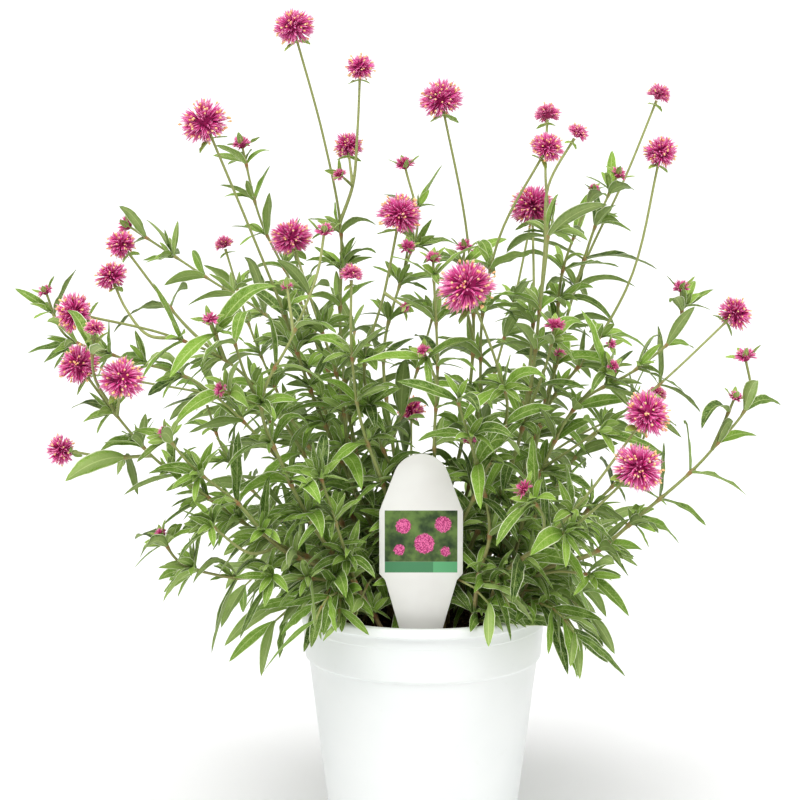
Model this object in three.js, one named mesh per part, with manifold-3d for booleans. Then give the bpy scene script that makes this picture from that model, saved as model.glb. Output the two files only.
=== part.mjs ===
// A potted globe amaranth: a white nursery pot filled with soil, a plastic plant label, and a bushy
// plant of forking stems with paired narrow leaves and round spiky flower heads.
// Millimetres, +Z up, origin at the centre of the pot's flat underside. The front is towards -Y.
import * as THREE from "three";
import { mergeVertices } from "three/addons/utils/BufferGeometryUtils.js";
import Module from "manifold-3d";

const wasm = await Module();
wasm.setup();

// Pot
const POT_SIDES = 48;
const POT_HEIGHT = 165;
const LIP_RADIUS = 82.5;
const LIP_HEIGHT = 6.5;
const COLLAR_TOP_RADIUS = 78.8;
const COLLAR_FOOT_RADIUS = 76.6;
const COLLAR_FOOT_Z = 130;
const BODY_TOP_RADIUS = 74.4;
const BASE_RADIUS = 58.5;
const POT_WALL = 1.7;
const POT_FLOOR = 3;
const DRAIN_HOLES = 8;
const DRAIN_HOLE_RADIUS = 5;
const DRAIN_HOLE_CIRCLE = 43;

// Soil
const SOIL_TOP = 148;
const SOIL_SIDES = 20;
const SOIL_BUMP = 1.6;
const CLEARANCE = 0.35;

// Label
const LABEL_THICKNESS = 0.9;
const LABEL_TOP = 271;
const LABEL_CAP_RADIUS = 17.5;
const LABEL_CAP_LOWEST = 0.36;
const LABEL_SHOULDER_Z = 235;
const LABEL_WIDTH = 51.7;
const LABEL_NOTCH_Z = 192;
const LABEL_NOTCH_WIDTH = 44.5;
const LABEL_STAKE_WIDTH = 27.4;
const LABEL_STAKE_Z = 162;
const LABEL_POINT_Z = 100;
const LABEL_CENTRE_X = -2;
const LABEL_Y = -62;
const LABEL_VIEW_SLOPE = 0.2;

// Stems
const FOOT_DEPTH = 22;
const FOOT_RISE = 5;
const MAIN_STEM_RADIUS = 1.75;
const SIDE_SHOOT_RADIUS = 1.3;
const STALK_RADIUS = 1.05;
const PATH_TOLERANCE = 1.1;
const CURVE_STEPS = 8;
const STEM_MARGIN = 1.2;

// Leaves
const LEAF_LENGTH = 48;
const LEAF_WIDTH = 10.5;
const LEAF_ROOT_WIDTH = 2.2;
const LEAF_THICKNESS = 1.2;
const LEAF_FOLD = 0.22;
const LEAF_PITCH = 45;
const LEAF_STEPS = 20;
const LEAF_STATIONS = [7, 14];
const BRACT_STATIONS = [9];
const LEAF_TRIES = 12;
const NODE_HALF_HEIGHT = 1.2;
const LEAF_MARGIN = 0.8;

// Flower heads
const LARGE_HEAD = 11.5;
const HEAD_CORE = 0.52;
const HEAD_SQUASH = 0.88;
const SPIKE_LIMIT = -0.42;

// Where the eye stands: a point's depth spreads it outwards along the line of sight.
const EYE = [-15, -1300, 465];

const GREEN = { color: 0x7d8a52, roughness: 0.7, metalness: 0 };
const PINK = { color: 0xbe6987, roughness: 0.7, metalness: 0 };
const YOUNG_PINK = { color: 0xc98aa0, roughness: 0.7, metalness: 0 };
const WHITE_PLASTIC = { color: 0xeef1f0, roughness: 0.45, metalness: 0 };
const LABEL_PLASTIC = { color: 0xe9e7e4, roughness: 0.5, metalness: 0 };
const POTTING_MIX = { color: 0x4a3a2c, roughness: 1, metalness: 0 };

// One entry for each leafy stem: foot = [x, y] on the soil, then its shoots. The first shoot rises
// from the foot, and a later one leaves point from[1] of shoot from[0]. A path lists [x, z, depth]
// as seen on the upright plane through the pot's axis; its last point is the middle of the tip.
// tip: "head", "young" (a small head), "bud" or "leafy"; size = its radius; bare = leafless length.
const STEMS = [
  { foot: [-10, 14], shoots: [
    { tip: "head", size: 14, bare: 130,
      path: [[-33, 218, 14], [-46, 277, 22], [-53, 338, 30], [-53, 410, 38], [-63, 462, 38], [-82, 532, 35]] },
    { from: [0, 3], tip: "head", size: 10.5, bare: 80, path: [[-45, 433, 42], [-42, 465, 42], [-40, 507, 42]] },
    { from: [1, 0], tip: "head", size: 10.5, bare: 30, path: [[-48, 458, 54]] },
    { from: [1, 0], tip: "bud", size: 4, bare: 20, path: [[-53, 440, 30]] },
  ] },
  { foot: [-18, -16], shoots: [
    { tip: "head", size: 16, bare: 120,
      path: [[-25, 192, -20], [-47, 244, -30], [-70, 296, -38], [-91, 357, -45], [-110, 405, -52], [-138, 473, -60]] },
    { from: [0, 1], tip: "head", size: 14, bare: 32, path: [[-55, 310, -46], [-70, 355, -38], [-84, 400, -20]] },
  ] },
  { foot: [-22, 26], shoots: [
    { tip: "bud", size: 6, bare: 14,
      path: [[-28, 198, 28], [-46, 264, 45], [-67, 332, 72], [-85, 373, 84], [-103, 410, 92], [-115, 459, 98]] },
    { from: [0, 0], tip: "young", size: 7, bare: 30,
      path: [[-55, 238, 60], [-86, 286, 90], [-108, 335, 110], [-127, 396, 124]] },
  ] },
  { foot: [-38, 8], shoots: [
    { tip: "bud", size: 6, bare: 16,
      path: [[-40, 195, 12], [-54, 251, 22], [-68, 303, 34], [-93, 344, 48], [-137, 374, 66], [-188, 408, 84]] },
    { from: [0, 0], tip: "bud", size: 4.5, bare: 16,
      path: [[-68, 224, 14], [-104, 270, 18], [-150, 310, 20], [-201, 326, 14], [-229, 338, 8], [-241, 366, 6]] },
  ] },
  { foot: [-42, -12], shoots: [
    { tip: "head", size: 13, bare: 62,
      path: [[-44, 192, -16], [-68, 244, -32], [-98, 293, -46], [-127, 322, -58], [-158, 336, -66], [-223, 352, -82]] },
    { from: [0, 4], tip: "head", size: 10.5, bare: 40, path: [[-176, 338, -60], [-190, 355, -56], [-199, 376, -53]] },
    { from: [0, 3], tip: "head", size: 10.5, bare: 46, path: [[-148, 340, -40], [-192, 396, -22]] },
    { from: [0, 3], tip: "bud", size: 4.5, bare: 12, path: [[-136, 348, -76]] },
  ] },
  { foot: [-48, -34], shoots: [
    { tip: "head", size: 13.5, bare: 30,
      path: [[-56, 180, -44], [-98, 204, -70], [-141, 234, -90], [-175, 260, -100], [-197, 286, -104], [-221, 319, -108]] },
    { from: [0, 4], tip: "head", size: 13.5, bare: 20, path: [[-193, 310, -134]] },
    { from: [0, 4], tip: "young", size: 6.5, bare: 12, path: [[-212, 318, -142], [-210, 342, -140]] },
    { from: [0, 3], tip: "head", size: 10, bare: 40, path: [[-202, 259, -84], [-233, 264, -72]] },
  ] },
  { foot: [-40, -52], shoots: [
    { tip: "bud", size: 3.5, bare: 8,
      path: [[-55, 178, -64], [-94, 200, -80], [-120, 229, -100], [-151, 255, -118], [-167, 275, -126]] },
    { from: [0, 0], tip: "bud", size: 3.8, bare: 8,
      path: [[-92, 180, -84], [-131, 181, -100], [-160, 192, -104], [-170, 208, -104]] },
    { from: [0, 1], tip: "leafy", size: 0, bare: 0, path: [[-112, 196, -102], [-137, 214, -118]] },
  ] },
  { foot: [-24, -48], shoots: [
    { tip: "bud", size: 5, bare: 60,
      path: [[-44, 176, -56], [-70, 212, -70], [-90, 252, -84], [-104, 292, -92], [-83, 339, -100],
        [-67, 380, -101], [-63, 404, -100]] },
    { from: [0, 3], tip: "leafy", size: 0, bare: 0, path: [[-114, 312, -97], [-121, 334, -104]] },
    { from: [0, 3], tip: "bud", size: 4, bare: 8, path: [[-130, 303, -112]] },
    { from: [0, 4], tip: "bud", size: 3.5, bare: 12, path: [[-87, 369, -90]] },
    { from: [0, 0], tip: "leafy", size: 0, bare: 0, path: [[-54, 208, -78], [-66, 246, -90]] },
  ] },
  { foot: [-3, -32], shoots: [
    { tip: "young", size: 7.5, bare: 48,
      path: [[-10, 188, -40], [-25, 238, -58], [-41, 286, -72], [-46, 328, -80], [-46, 377, -83]] },
    { from: [0, 0], tip: "head", size: 14.5, bare: 88,
      path: [[-18, 244, -44], [-33, 283, -50], [-38, 312, -54], [-25, 365, -62], [-15, 415, -66]] },
    { from: [1, 3], tip: "bud", size: 3, bare: 6, path: [[-12, 356, -72]] },
  ] },
  { foot: [2, 28], shoots: [
    { tip: "bud", size: 6, bare: 32,
      path: [[-8, 201, 32], [-20, 270, 46], [-25, 332, 58], [-12, 380, 63], [-4, 406, 65], [-12, 446, 65]] },
    { from: [0, 3], tip: "bud", size: 5, bare: 8, path: [[-10, 394, 50]] },
    { from: [0, 1], tip: "leafy", size: 0, bare: 0, path: [[-4, 315, 80], [6, 350, 96]] },
  ] },
  { foot: [16, 6], shoots: [
    { tip: "head", size: 16, bare: 110,
      path: [[11, 201, 14], [25, 270, 34], [32, 335, 50], [28, 399, 60], [11, 487, 69]] },
    { from: [0, 0], tip: "head", size: 11, bare: 80,
      path: [[29, 238, 0], [36, 296, -10], [38, 354, -16], [48, 400, -22], [78, 457, -36]] },
    { from: [0, 2], tip: "bud", size: 5.5, bare: 14, path: [[25, 372, 32], [26, 394, 31]] },
  ] },
  { foot: [12, -44], shoots: [
    { tip: "head", size: 18, bare: 66,
      path: [[16, 192, -54], [38, 244, -80], [54, 291, -98], [48, 316, -108], [28, 369, -118]] },
    { from: [0, 0], tip: "bud", size: 4.5, bare: 12, path: [[7, 268, -60], [9, 307, -72], [6, 387, -82]] },
    { from: [1, 1], tip: "bud", size: 4, bare: 8, path: [[0, 328, -90]] },
    { from: [0, 1], tip: "leafy", size: 0, bare: 0, path: [[30, 270, -96], [22, 296, -106]] },
  ] },
  { foot: [32, -18], shoots: [
    { tip: "young", size: 7, bare: 110,
      path: [[29, 194, -26], [51, 238, -36], [65, 283, -44], [74, 354, -50], [77, 395, -56], [79, 433, -62], [97, 466, -64]] },
    { from: [0, 2], tip: "head", size: 16, bare: 70, path: [[70, 345, -28], [69, 420, 0]] },
    { from: [0, 3], tip: "young", size: 8.5, bare: 85, path: [[79, 405, -24], [77, 444, 4], [78, 478, 10]] },
    { from: [0, 2], tip: "bud", size: 5.5, bare: 12, path: [[80, 324, -64], [84, 344, -70]] },
  ] },
  { foot: [34, 22], shoots: [
    { tip: "young", size: 9, bare: 140,
      path: [[42, 192, 30], [69, 260, 50], [85, 322, 70], [97, 369, 84], [130, 444, 100], [148, 490, 104]] },
    { from: [0, 3], tip: "bud", size: 5, bare: 14, path: [[111, 413, 75], [123, 440, 74]] },
    { from: [0, 2], tip: "bud", size: 3.5, bare: 10, path: [[89, 381, 44], [108, 431, 37]] },
  ] },
  { foot: [48, 4], shoots: [
    { tip: "head", size: 12, bare: 120,
      path: [[48, 184, 4], [68, 241, 6], [78, 288, 8], [107, 328, 8], [129, 367, 8], [150, 454, 8]] },
    { from: [0, 0], tip: "head", size: 12.5, bare: 66,
      path: [[75, 224, 30], [107, 270, 50], [150, 305, 66], [199, 352, 82]] },
    { from: [0, 2], tip: "bud", size: 3.5, bare: 8, path: [[87, 326, -6]] },
    { from: [0, 3], tip: "bud", size: 3, bare: 6, path: [[120, 332, -12]] },
  ] },
  { foot: [54, -16], shoots: [
    { tip: "bud", size: 5, bare: 14,
      path: [[57, 180, -24], [77, 252, -46], [100, 294, -54], [139, 318, -58], [164, 344, -56], [164, 368, -54]] },
    { from: [0, 2], tip: "bud", size: 3.8, bare: 8, path: [[121, 318, -68]] },
    { from: [0, 1], tip: "leafy", size: 0, bare: 0, path: [[92, 262, -68], [112, 276, -84]] },
  ] },
  { foot: [56, -34], shoots: [
    { tip: "bud", size: 6, bare: 34,
      path: [[70, 180, -46], [112, 197, -62], [138, 219, -68], [186, 264, -75], [210, 300, -76], [206, 324, -76]] },
    { from: [0, 3], tip: "bud", size: 4, bare: 10, path: [[200, 298, -78]] },
    { from: [0, 0], tip: "leafy", size: 0, bare: 0, path: [[88, 184, -74], [108, 182, -94]] },
  ] },
  { foot: [38, -50], shoots: [
    { tip: "head", size: 15, bare: 72,
      path: [[50, 180, -64], [74, 200, -84], [99, 226, -104], [144, 287, -121]] },
    { from: [0, 1], tip: "head", size: 16, bare: 62, path: [[98, 214, -118], [139, 252, -142]] },
    { from: [0, 1], tip: "bud", size: 5.5, bare: 12, path: [[77, 222, -108], [65, 238, -112]] },
  ] },
  { foot: [30, -58], shoots: [
    { tip: "bud", size: 4.5, bare: 10, path: [[36, 180, -64], [43, 207, -70], [40, 234, -74], [30, 270, -78]] },
  ] },
  { foot: [-14, 44], shoots: [
    { tip: "head", size: 12, bare: 64,
      path: [[-25, 211, 70], [-50, 277, 105], [-71, 341, 128], [-84, 399, 142]] },
    { from: [0, 0], tip: "head", size: 12, bare: 54, path: [[-60, 251, 110], [-120, 294, 146], [-192, 310, 150]] },
    { from: [0, 1], tip: "leafy", size: 0, bare: 0, path: [[-46, 316, 146], [-44, 342, 166]] },
  ] },
  { foot: [26, 46], shoots: [
    { tip: "head", size: 13, bare: 54,
      path: [[30, 205, 75], [69, 251, 110], [107, 277, 125], [146, 292, 128]] },
    { from: [0, 0], tip: "head", size: 12, bare: 64, path: [[36, 270, 110], [60, 370, 148], [70, 420, 152]] },
    { from: [0, 1], tip: "leafy", size: 0, bare: 0, path: [[64, 296, 146], [70, 322, 166]] },
  ] },
  { foot: [4, 58], shoots: [
    { tip: "head", size: 11, bare: 40, path: [[4, 196, 84], [-6, 236, 116], [-8, 290, 150]] },
    { from: [0, 0], tip: "leafy", size: 0, bare: 0, path: [[24, 214, 116], [34, 226, 146]] },
  ] },
  { foot: [-46, 38], shoots: [
    { tip: "young", size: 7, bare: 20, path: [[-62, 190, 52], [-98, 224, 74], [-128, 262, 92], [-140, 296, 98]] },
    { from: [0, 0], tip: "leafy", size: 0, bare: 0, path: [[-82, 200, 84], [-104, 208, 116]] },
  ] },
  { foot: [56, 28], shoots: [
    { tip: "young", size: 7, bare: 20, path: [[70, 190, 44], [104, 222, 62], [136, 258, 76], [150, 300, 80]] },
    { from: [0, 0], tip: "leafy", size: 0, bare: 0, path: [[92, 204, 76], [112, 214, 108]] },
  ] },
];

// ---- small vector helpers on [x, y, z] ----

const add = (a, b) => [a[0] + b[0], a[1] + b[1], a[2] + b[2]];
const sub = (a, b) => [a[0] - b[0], a[1] - b[1], a[2] - b[2]];
const scale = (a, k) => [a[0] * k, a[1] * k, a[2] * k];
const dot = (a, b) => a[0] * b[0] + a[1] * b[1] + a[2] * b[2];
const cross = (a, b) => [a[1] * b[2] - a[2] * b[1], a[2] * b[0] - a[0] * b[2], a[0] * b[1] - a[1] * b[0]];
const size = (a) => Math.sqrt(dot(a, a));
const unit = (a) => scale(a, 1 / size(a));
const mix = (a, b, t) => add(scale(a, 1 - t), scale(b, t));

// A seeded stream of numbers from 0 to 1.
function randomStream(seed) {
  let state = (seed * 7919 + 12345) % 4294967296;
  const next = () => {
    state = (state * 1664525 + 1013904223) % 4294967296;
    return state / 4294967296;
  };
  next();
  next();
  return next;
}

// The real place of a point seen at [x, z] on the middle plane, at the given depth behind it.
function placed([x, z, depth]) {
  const spread = 1 - depth / EYE[1];
  return [EYE[0] + (x - EYE[0]) * spread, depth, EYE[2] + (z - EYE[2]) * spread];
}

// ---- solids ----

// A closed solid from a list of triangles' corners.
function solidFrom(positions) {
  const geometry = new THREE.BufferGeometry();
  geometry.setAttribute("position", new THREE.Float32BufferAttribute(positions, 3));
  return solidOf(geometry);
}

// A closed solid from a geometry, with shared corners merged and flat triangles left out.
function solidOf(geometry) {
  geometry.deleteAttribute("normal");
  geometry.deleteAttribute("uv");
  const merged = mergeVertices(geometry, 1e-4);
  const index = merged.index.array;
  const kept = [];
  for (let i = 0; i < index.length; i += 3) {
    const [a, b, c] = [index[i], index[i + 1], index[i + 2]];
    if (a !== b && b !== c && c !== a) {
      kept.push(a, b, c);
    }
  }
  return new wasm.Manifold(new wasm.Mesh({
    numProp: 3,
    vertProperties: new Float32Array(merged.attributes.position.array),
    triVerts: new Uint32Array(kept),
  }));
}

function meshOf(solid, name, finish) {
  const data = solid.getMesh();
  const geometry = new THREE.BufferGeometry();
  geometry.setAttribute("position", new THREE.BufferAttribute(new Float32Array(data.vertProperties), 3));
  geometry.setIndex(new THREE.BufferAttribute(new Uint32Array(data.triVerts), 1));
  geometry.computeVertexNormals();
  const mesh = new THREE.Mesh(geometry, new THREE.MeshStandardMaterial(finish));
  mesh.name = name;
  return mesh;
}

// The triangles between two rings of equal numbers of corners, as a list of coordinates.
function band(low, high) {
  const out = [];
  for (let i = 0; i < low.length; i++) {
    const j = (i + 1) % low.length;
    out.push(...quad(low[i], low[j], high[j], high[i], i % 2 === 0));
  }
  return out;
}

// Neighbouring quads are split opposite ways, so the two faces of a blade are split alike.
function quad(a, b, c, d, leftwards) {
  return leftwards ? [...a, ...b, ...d, ...b, ...c, ...d] : [...a, ...b, ...c, ...a, ...c, ...d];
}

// A fan from a point to every side of a ring.
function fan(point, ring, facingBack) {
  const out = [];
  for (let i = 0; i < ring.length; i++) {
    const [a, b] = [ring[i], ring[(i + 1) % ring.length]];
    out.push(...point, ...(facingBack ? [...b, ...a] : [...a, ...b]));
  }
  return out;
}

// A flat cap over a ring.
function cap(ring, facingBack) {
  const out = [];
  for (let i = 1; i + 1 < ring.length; i++) {
    const [a, b] = [ring[i], ring[i + 1]];
    out.push(...ring[0], ...(facingBack ? [...b, ...a] : [...a, ...b]));
  }
  return out;
}

// A closed body through a row of rings.
function loft(rings) {
  const out = cap(rings[0], true);
  for (let k = 0; k + 1 < rings.length; k++) {
    out.push(...band(rings[k], rings[k + 1]));
  }
  out.push(...cap(rings[rings.length - 1], false));
  return out;
}

// ---- paths ----

// A smooth path through the given points: tangents weigh the two neighbouring chords by length.
function smoothPath(points) {
  const chord = points.slice(1).map((p, i) => sub(p, points[i]));
  const length = chord.map(size);
  const slope = points.map((p, i) => {
    if (i === 0) {
      return scale(chord[0], 1 / length[0]);
    }
    if (i === points.length - 1) {
      return scale(chord[i - 1], 1 / length[i - 1]);
    }
    const before = scale(chord[i - 1], length[i] / length[i - 1]);
    const after = scale(chord[i], length[i - 1] / length[i]);
    return scale(add(before, after), 1 / (length[i - 1] + length[i]));
  });
  const path = [points[0]];
  for (let i = 0; i + 1 < points.length; i++) {
    for (let k = 1; k <= CURVE_STEPS; k++) {
      const t = k / CURVE_STEPS;
      const t2 = t * t;
      const t3 = t2 * t;
      let p = scale(points[i], 2 * t3 - 3 * t2 + 1);
      p = add(p, scale(slope[i], (t3 - 2 * t2 + t) * length[i]));
      p = add(p, scale(points[i + 1], 3 * t2 - 2 * t3));
      p = add(p, scale(slope[i + 1], (t3 - t2) * length[i]));
      path.push(p);
    }
  }
  return path;
}

function lengthsAlong(path) {
  const along = [0];
  for (let i = 1; i < path.length; i++) {
    along.push(along[i - 1] + size(sub(path[i], path[i - 1])));
  }
  return along;
}

// A crosswise direction at each point of a path, carried along without twist.
function crosswiseAlong(path, turn) {
  const first = unit(sub(path[1], path[0]));
  const helper = Math.abs(first[2]) < 0.9 ? [0, 0, 1] : [0, -1, 0];
  const e1 = unit(cross(helper, first));
  const e2 = cross(first, e1);
  let across = add(scale(e1, Math.cos(turn)), scale(e2, Math.sin(turn)));
  return path.map((p, i) => {
    const direction = unit(sub(path[Math.min(i + 1, path.length - 1)], path[Math.max(i - 1, 0)]));
    across = unit(sub(across, scale(direction, dot(across, direction))));
    return across;
  });
}

// The point, the direction and the two crosswise directions of a shoot at a distance from its start.
function pointAt(shoot, distance) {
  const { path, along, crosswise } = shoot;
  let i = 1;
  while (i < path.length - 1 && along[i] < distance) {
    i += 1;
  }
  const t = (distance - along[i - 1]) / (along[i] - along[i - 1]);
  const before = unit(sub(path[i], path[Math.max(i - 2, 0)]));
  const after = unit(sub(path[Math.min(i + 1, path.length - 1)], path[i - 1]));
  const direction = unit(mix(before, after, t));
  const carried = mix(crosswise[i - 1], crosswise[i], t);
  const across = unit(sub(carried, scale(direction, dot(carried, direction))));
  return { point: mix(path[i - 1], path[i], t), direction, across, other: cross(direction, across) };
}

// The part of a path up to a distance from its start.
function cutPath(path, distance) {
  const along = lengthsAlong(path);
  const kept = path.filter((p, i) => along[i] < distance - 0.5);
  const i = kept.length;
  kept.push(mix(path[i - 1], path[i], (distance - along[i - 1]) / (along[i] - along[i - 1])));
  return kept;
}

// The numbers of the points that a path needs, the others lying close to the line between them.
function neededPoints(path, first, last) {
  const line = sub(path[last], path[first]);
  let worst = 0;
  let at = first;
  for (let i = first + 1; i < last; i++) {
    const t = dot(sub(path[i], path[first]), line) / dot(line, line);
    const off = size(sub(path[i], add(path[first], scale(line, t))));
    if (off > worst) {
      worst = off;
      at = i;
    }
  }
  if (worst < PATH_TOLERANCE) {
    return [first, last];
  }
  return [...neededPoints(path, first, at).slice(0, -1), ...neededPoints(path, at, last)];
}

// ---- clearance ----

// The squared distance between the middle lines of two capsules.
function squaredDistance(p1, q1, p2, q2) {
  const d1 = sub(q1, p1);
  const d2 = sub(q2, p2);
  const r = sub(p1, p2);
  const a = dot(d1, d1) + 1e-9;
  const e = dot(d2, d2) + 1e-9;
  const b = dot(d1, d2);
  const c = dot(d1, r);
  const f = dot(d2, r);
  const denominator = a * e - b * b + 1e-9;
  let s = Math.min(Math.max((b * f - c * e) / denominator, 0), 1);
  const t = Math.min(Math.max((b * s + f) / e, 0), 1);
  s = Math.min(Math.max((b * t - c) / a, 0), 1);
  const gap = sub(add(p1, scale(d1, s)), add(p2, scale(d2, t)));
  return dot(gap, gap);
}

// Everything placed so far, as capsules: ends a and b, radius r, owner's number and kind.
const taken = [];

function clearOfOthers(capsule, owner, ownKinds, margin) {
  for (const other of taken) {
    const same = other.owner === owner;
    if (same && (!ownKinds.includes(other.kind) || (capsule.site && capsule.site === other.site))) {
      continue;
    }
    const need = capsule.r + other.r + margin;
    if (squaredDistance(capsule.a, capsule.b, other.a, other.b) < need * need) {
      return false;
    }
  }
  return true;
}

// Clear of the pot's wall and lip, of the soil, and of the label.
function clearOfPot(capsule) {
  for (let k = 0; k <= 4; k++) {
    const p = mix(capsule.a, capsule.b, k / 4);
    const r = capsule.r + 1;
    const fromAxis = Math.sqrt(p[0] * p[0] + p[1] * p[1]);
    if (p[2] < SOIL_TOP + 4 && fromAxis < COLLAR_FOOT_RADIUS) {
      return false;
    }
    if (fromAxis > COLLAR_FOOT_RADIUS - POT_WALL - r && fromAxis < LIP_RADIUS + r && p[2] < POT_HEIGHT + r) {
      return false;
    }
    const besideLabel = Math.abs(p[0] - LABEL_CENTRE_X) - LABEL_WIDTH / 2;
    const before = Math.max(0, LABEL_Y - p[1]);
    if (besideLabel < r && p[1] - LABEL_Y < r + 1 && p[2] < LABEL_TOP + LABEL_VIEW_SLOPE * before + r) {
      return false;
    }
  }
  return true;
}

// ---- shoots ----

// Depth bends to try, in order: [swing of the tip, bow of the middle].
const BENDS = [[0, 0]];
for (const amount of [4, 8, 12, 17, 22, 28, 34]) {
  BENDS.push([amount, 0], [-amount, 0], [0, amount], [0, -amount], [amount, -amount], [-amount, amount]);
}

// Lays one shoot along its path, bent in depth until it and its head are clear of the other stems.
function layShoot(stemNumber, foot, shoots, shoot) {
  for (const [swing, bow] of BENDS) {
    const count = shoot.path.length;
    const points = shoot.path.map(([x, z, depth], i) => {
      const t = (i + 1) / count;
      return placed([x, z, depth + swing * t + bow * Math.sin(Math.PI * t)]);
    });
    if (shoot.from) {
      const parent = shoots[shoot.from[0]];
      points.unshift(parent.points[shoot.from[1]]);
    } else {
      points.unshift([foot[0], foot[1], SOIL_TOP + FOOT_RISE]);
    }
    const whole = smoothPath(points);
    if (!shoot.from) {
      whole.unshift([foot[0], foot[1], SOIL_TOP - FOOT_DEPTH]);
    }
    const total = lengthsAlong(whole)[whole.length - 1];
    const isHead = shoot.tip === "head" || shoot.tip === "young";
    const path = isHead ? cutPath(whole, total - shoot.size * HEAD_CORE * HEAD_SQUASH - CLEARANCE) : whole;
    const capsules = [];
    for (let i = 1; i < path.length; i++) {
      if (path[i][2] > SOIL_TOP) {
        const kind = i > path.length - 3 ? "stalk" : "stem";
        const r = shoot.from ? SIDE_SHOOT_RADIUS : MAIN_STEM_RADIUS;
        capsules.push({ a: path[i - 1], b: path[i], r, owner: stemNumber, kind });
      }
    }
    const middle = points[points.length - 1];
    let clear = capsules.every((c, i) => clearOfOthers(c, stemNumber, i > 2 ? ["head"] : [], STEM_MARGIN)
      && (c.a[2] < SOIL_TOP + 8 || clearOfPot(c)));
    let ball = null;
    if (isHead) {
      ball = { a: middle, b: middle, r: shoot.size, owner: stemNumber, kind: "head" };
      clear = clear && clearOfOthers(ball, stemNumber, ["head", "stem", "stalk"], STEM_MARGIN);
      clear = clear && clearOfPot(ball);
    } else if (shoot.tip === "bud") {
      ball = { a: middle, b: middle, r: shoot.size, owner: stemNumber, kind: "bud" };
      clear = clear && clearOfOthers(ball, stemNumber, ["head"], STEM_MARGIN) && clearOfPot(ball);
    }
    if (clear) {
      taken.push(...capsules);
      if (ball) {
        taken.push(ball);
      }
      const along = lengthsAlong(path);
      const crosswise = crosswiseAlong(path, shoot.from ? stemNumber * 0.7 + shoots.length * 1.3 : 0);
      const laid = { ...shoot, points: points.slice(1), path, along, crosswise, middle, isHead, nodes: [] };
      laid.length = along[along.length - 1];
      return laid;
    }
  }
  throw new Error(`No clear way for a shoot of stem ${stemNumber}: ${JSON.stringify(shoot.path)}`);
}

// ---- leaves ----

function leafWidthAt(u, width) {
  const blade = 0.5 * width * Math.pow(Math.sin(Math.PI * Math.pow(u, 0.85)), 0.75);
  return Math.max(blade, 0.5 * LEAF_ROOT_WIDTH * (1 - u));
}

// The midrib of a leaf: it leaves the stem at an angle and bows down under its own weight.
function growLeaf(place, form) {
  const out = add(scale(place.across, Math.cos(form.azimuth)), scale(place.other, Math.sin(form.azimuth)));
  const start = add(scale(place.direction, Math.cos(form.angle)), scale(out, Math.sin(form.angle)));
  const side = cross(place.direction, out);
  const stations = [];
  let point = place.point;
  for (let k = 0; k <= LEAF_STEPS; k++) {
    const u = k / LEAF_STEPS;
    const direction = unit(add(start, [0, 0, -form.droop * u]));
    let across = unit(sub(side, scale(direction, dot(side, direction))));
    const face = cross(direction, across);
    across = add(scale(across, Math.cos(form.roll * u)), scale(face, Math.sin(form.roll * u)));
    const up = cross(direction, across);
    stations.push({ point, direction, across, up, half: leafWidthAt(u, form.width) });
    const next = unit(add(start, [0, 0, -form.droop * (u + 0.5 / LEAF_STEPS)]));
    point = add(point, scale(next, form.length / LEAF_STEPS));
  }
  return stations;
}

function leafCapsules(stations, owner, site) {
  const picks = [0, ...LEAF_STATIONS, LEAF_STEPS];
  return picks.slice(1).map((k, i) => ({
    a: stations[picks[i]].point,
    b: stations[k].point,
    r: Math.max(stations[picks[i]].half, stations[k].half) * 1.04,
    owner,
    site,
    kind: "leaf",
  }));
}

// Tries ways to hang a leaf until it is clear of everything else; null if none is.
function hangLeaf(place, site, owner, random) {
  for (let attempt = 0; attempt < LEAF_TRIES; attempt++) {
    const loose = attempt / LEAF_TRIES;
    const form = {
      azimuth: site.azimuth + (random() - 0.5) * (0.5 + 1.1 * loose),
      length: site.length * (0.86 + 0.28 * random()) * (1 - 0.35 * loose),
      width: site.width * (0.88 + 0.24 * random()) * (1 - 0.25 * loose),
      angle: site.angle * (0.85 + 0.3 * random()) + (random() - 0.5) * 0.7 * loose,
      droop: site.droop * (0.3 + 1.4 * random()),
      roll: (random() - 0.5) * 1.5,
    };
    const stations = growLeaf(place, form);
    const capsules = leafCapsules(stations, owner, site.name);
    const clear = capsules.every((c, i) => clearOfPot(c)
      && clearOfOthers(c, owner, i > 0 ? ["head", "leaf", "bud", "stem", "stalk"] : ["head", "leaf"], LEAF_MARGIN));
    if (clear) {
      taken.push(...capsules);
      return stations;
    }
  }
  return null;
}

// The leaf pairs of one shoot, each pair square to the one before it, smaller towards the tip.
function growLeaves(stemNumber, shootNumber, shoot) {
  const first = shoot.from ? 20 : FOOT_DEPTH + FOOT_RISE + 16;
  const last = shoot.length - Math.max(shoot.bare, NODE_HALF_HEIGHT + 0.4);
  const pairs = Math.max(0, Math.floor((last - first) / LEAF_PITCH + 1));
  const step = pairs > 1 ? (last - first) / (pairs - 1) : 0;
  for (let pair = 0; pair < pairs; pair++) {
    const distance = pairs > 1 ? first + step * pair : last;
    const random = randomStream(stemNumber * 1000 + shootNumber * 100 + pair);
    const place = pointAt(shoot, distance);
    const age = 1 - distance / (shoot.length + 30);
    const sides = [(pair + stemNumber) % 2, ((pair + stemNumber) % 2) + 2];
    const blades = sides.map((side) => hangLeaf(place, {
      name: `${stemNumber} ${shootNumber} ${pair}`,
      azimuth: (side + 0.5) * (Math.PI / 2),
      length: LEAF_LENGTH * (0.62 + 0.5 * age),
      width: LEAF_WIDTH * (0.72 + 0.38 * age),
      angle: 0.65 + 0.55 * age,
      droop: 0.55 + 0.95 * age,
    }, stemNumber, random));
    if (blades[0] || blades[1]) {
      shoot.nodes.push({ distance, sides, blades });
    }
  }
}

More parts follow.
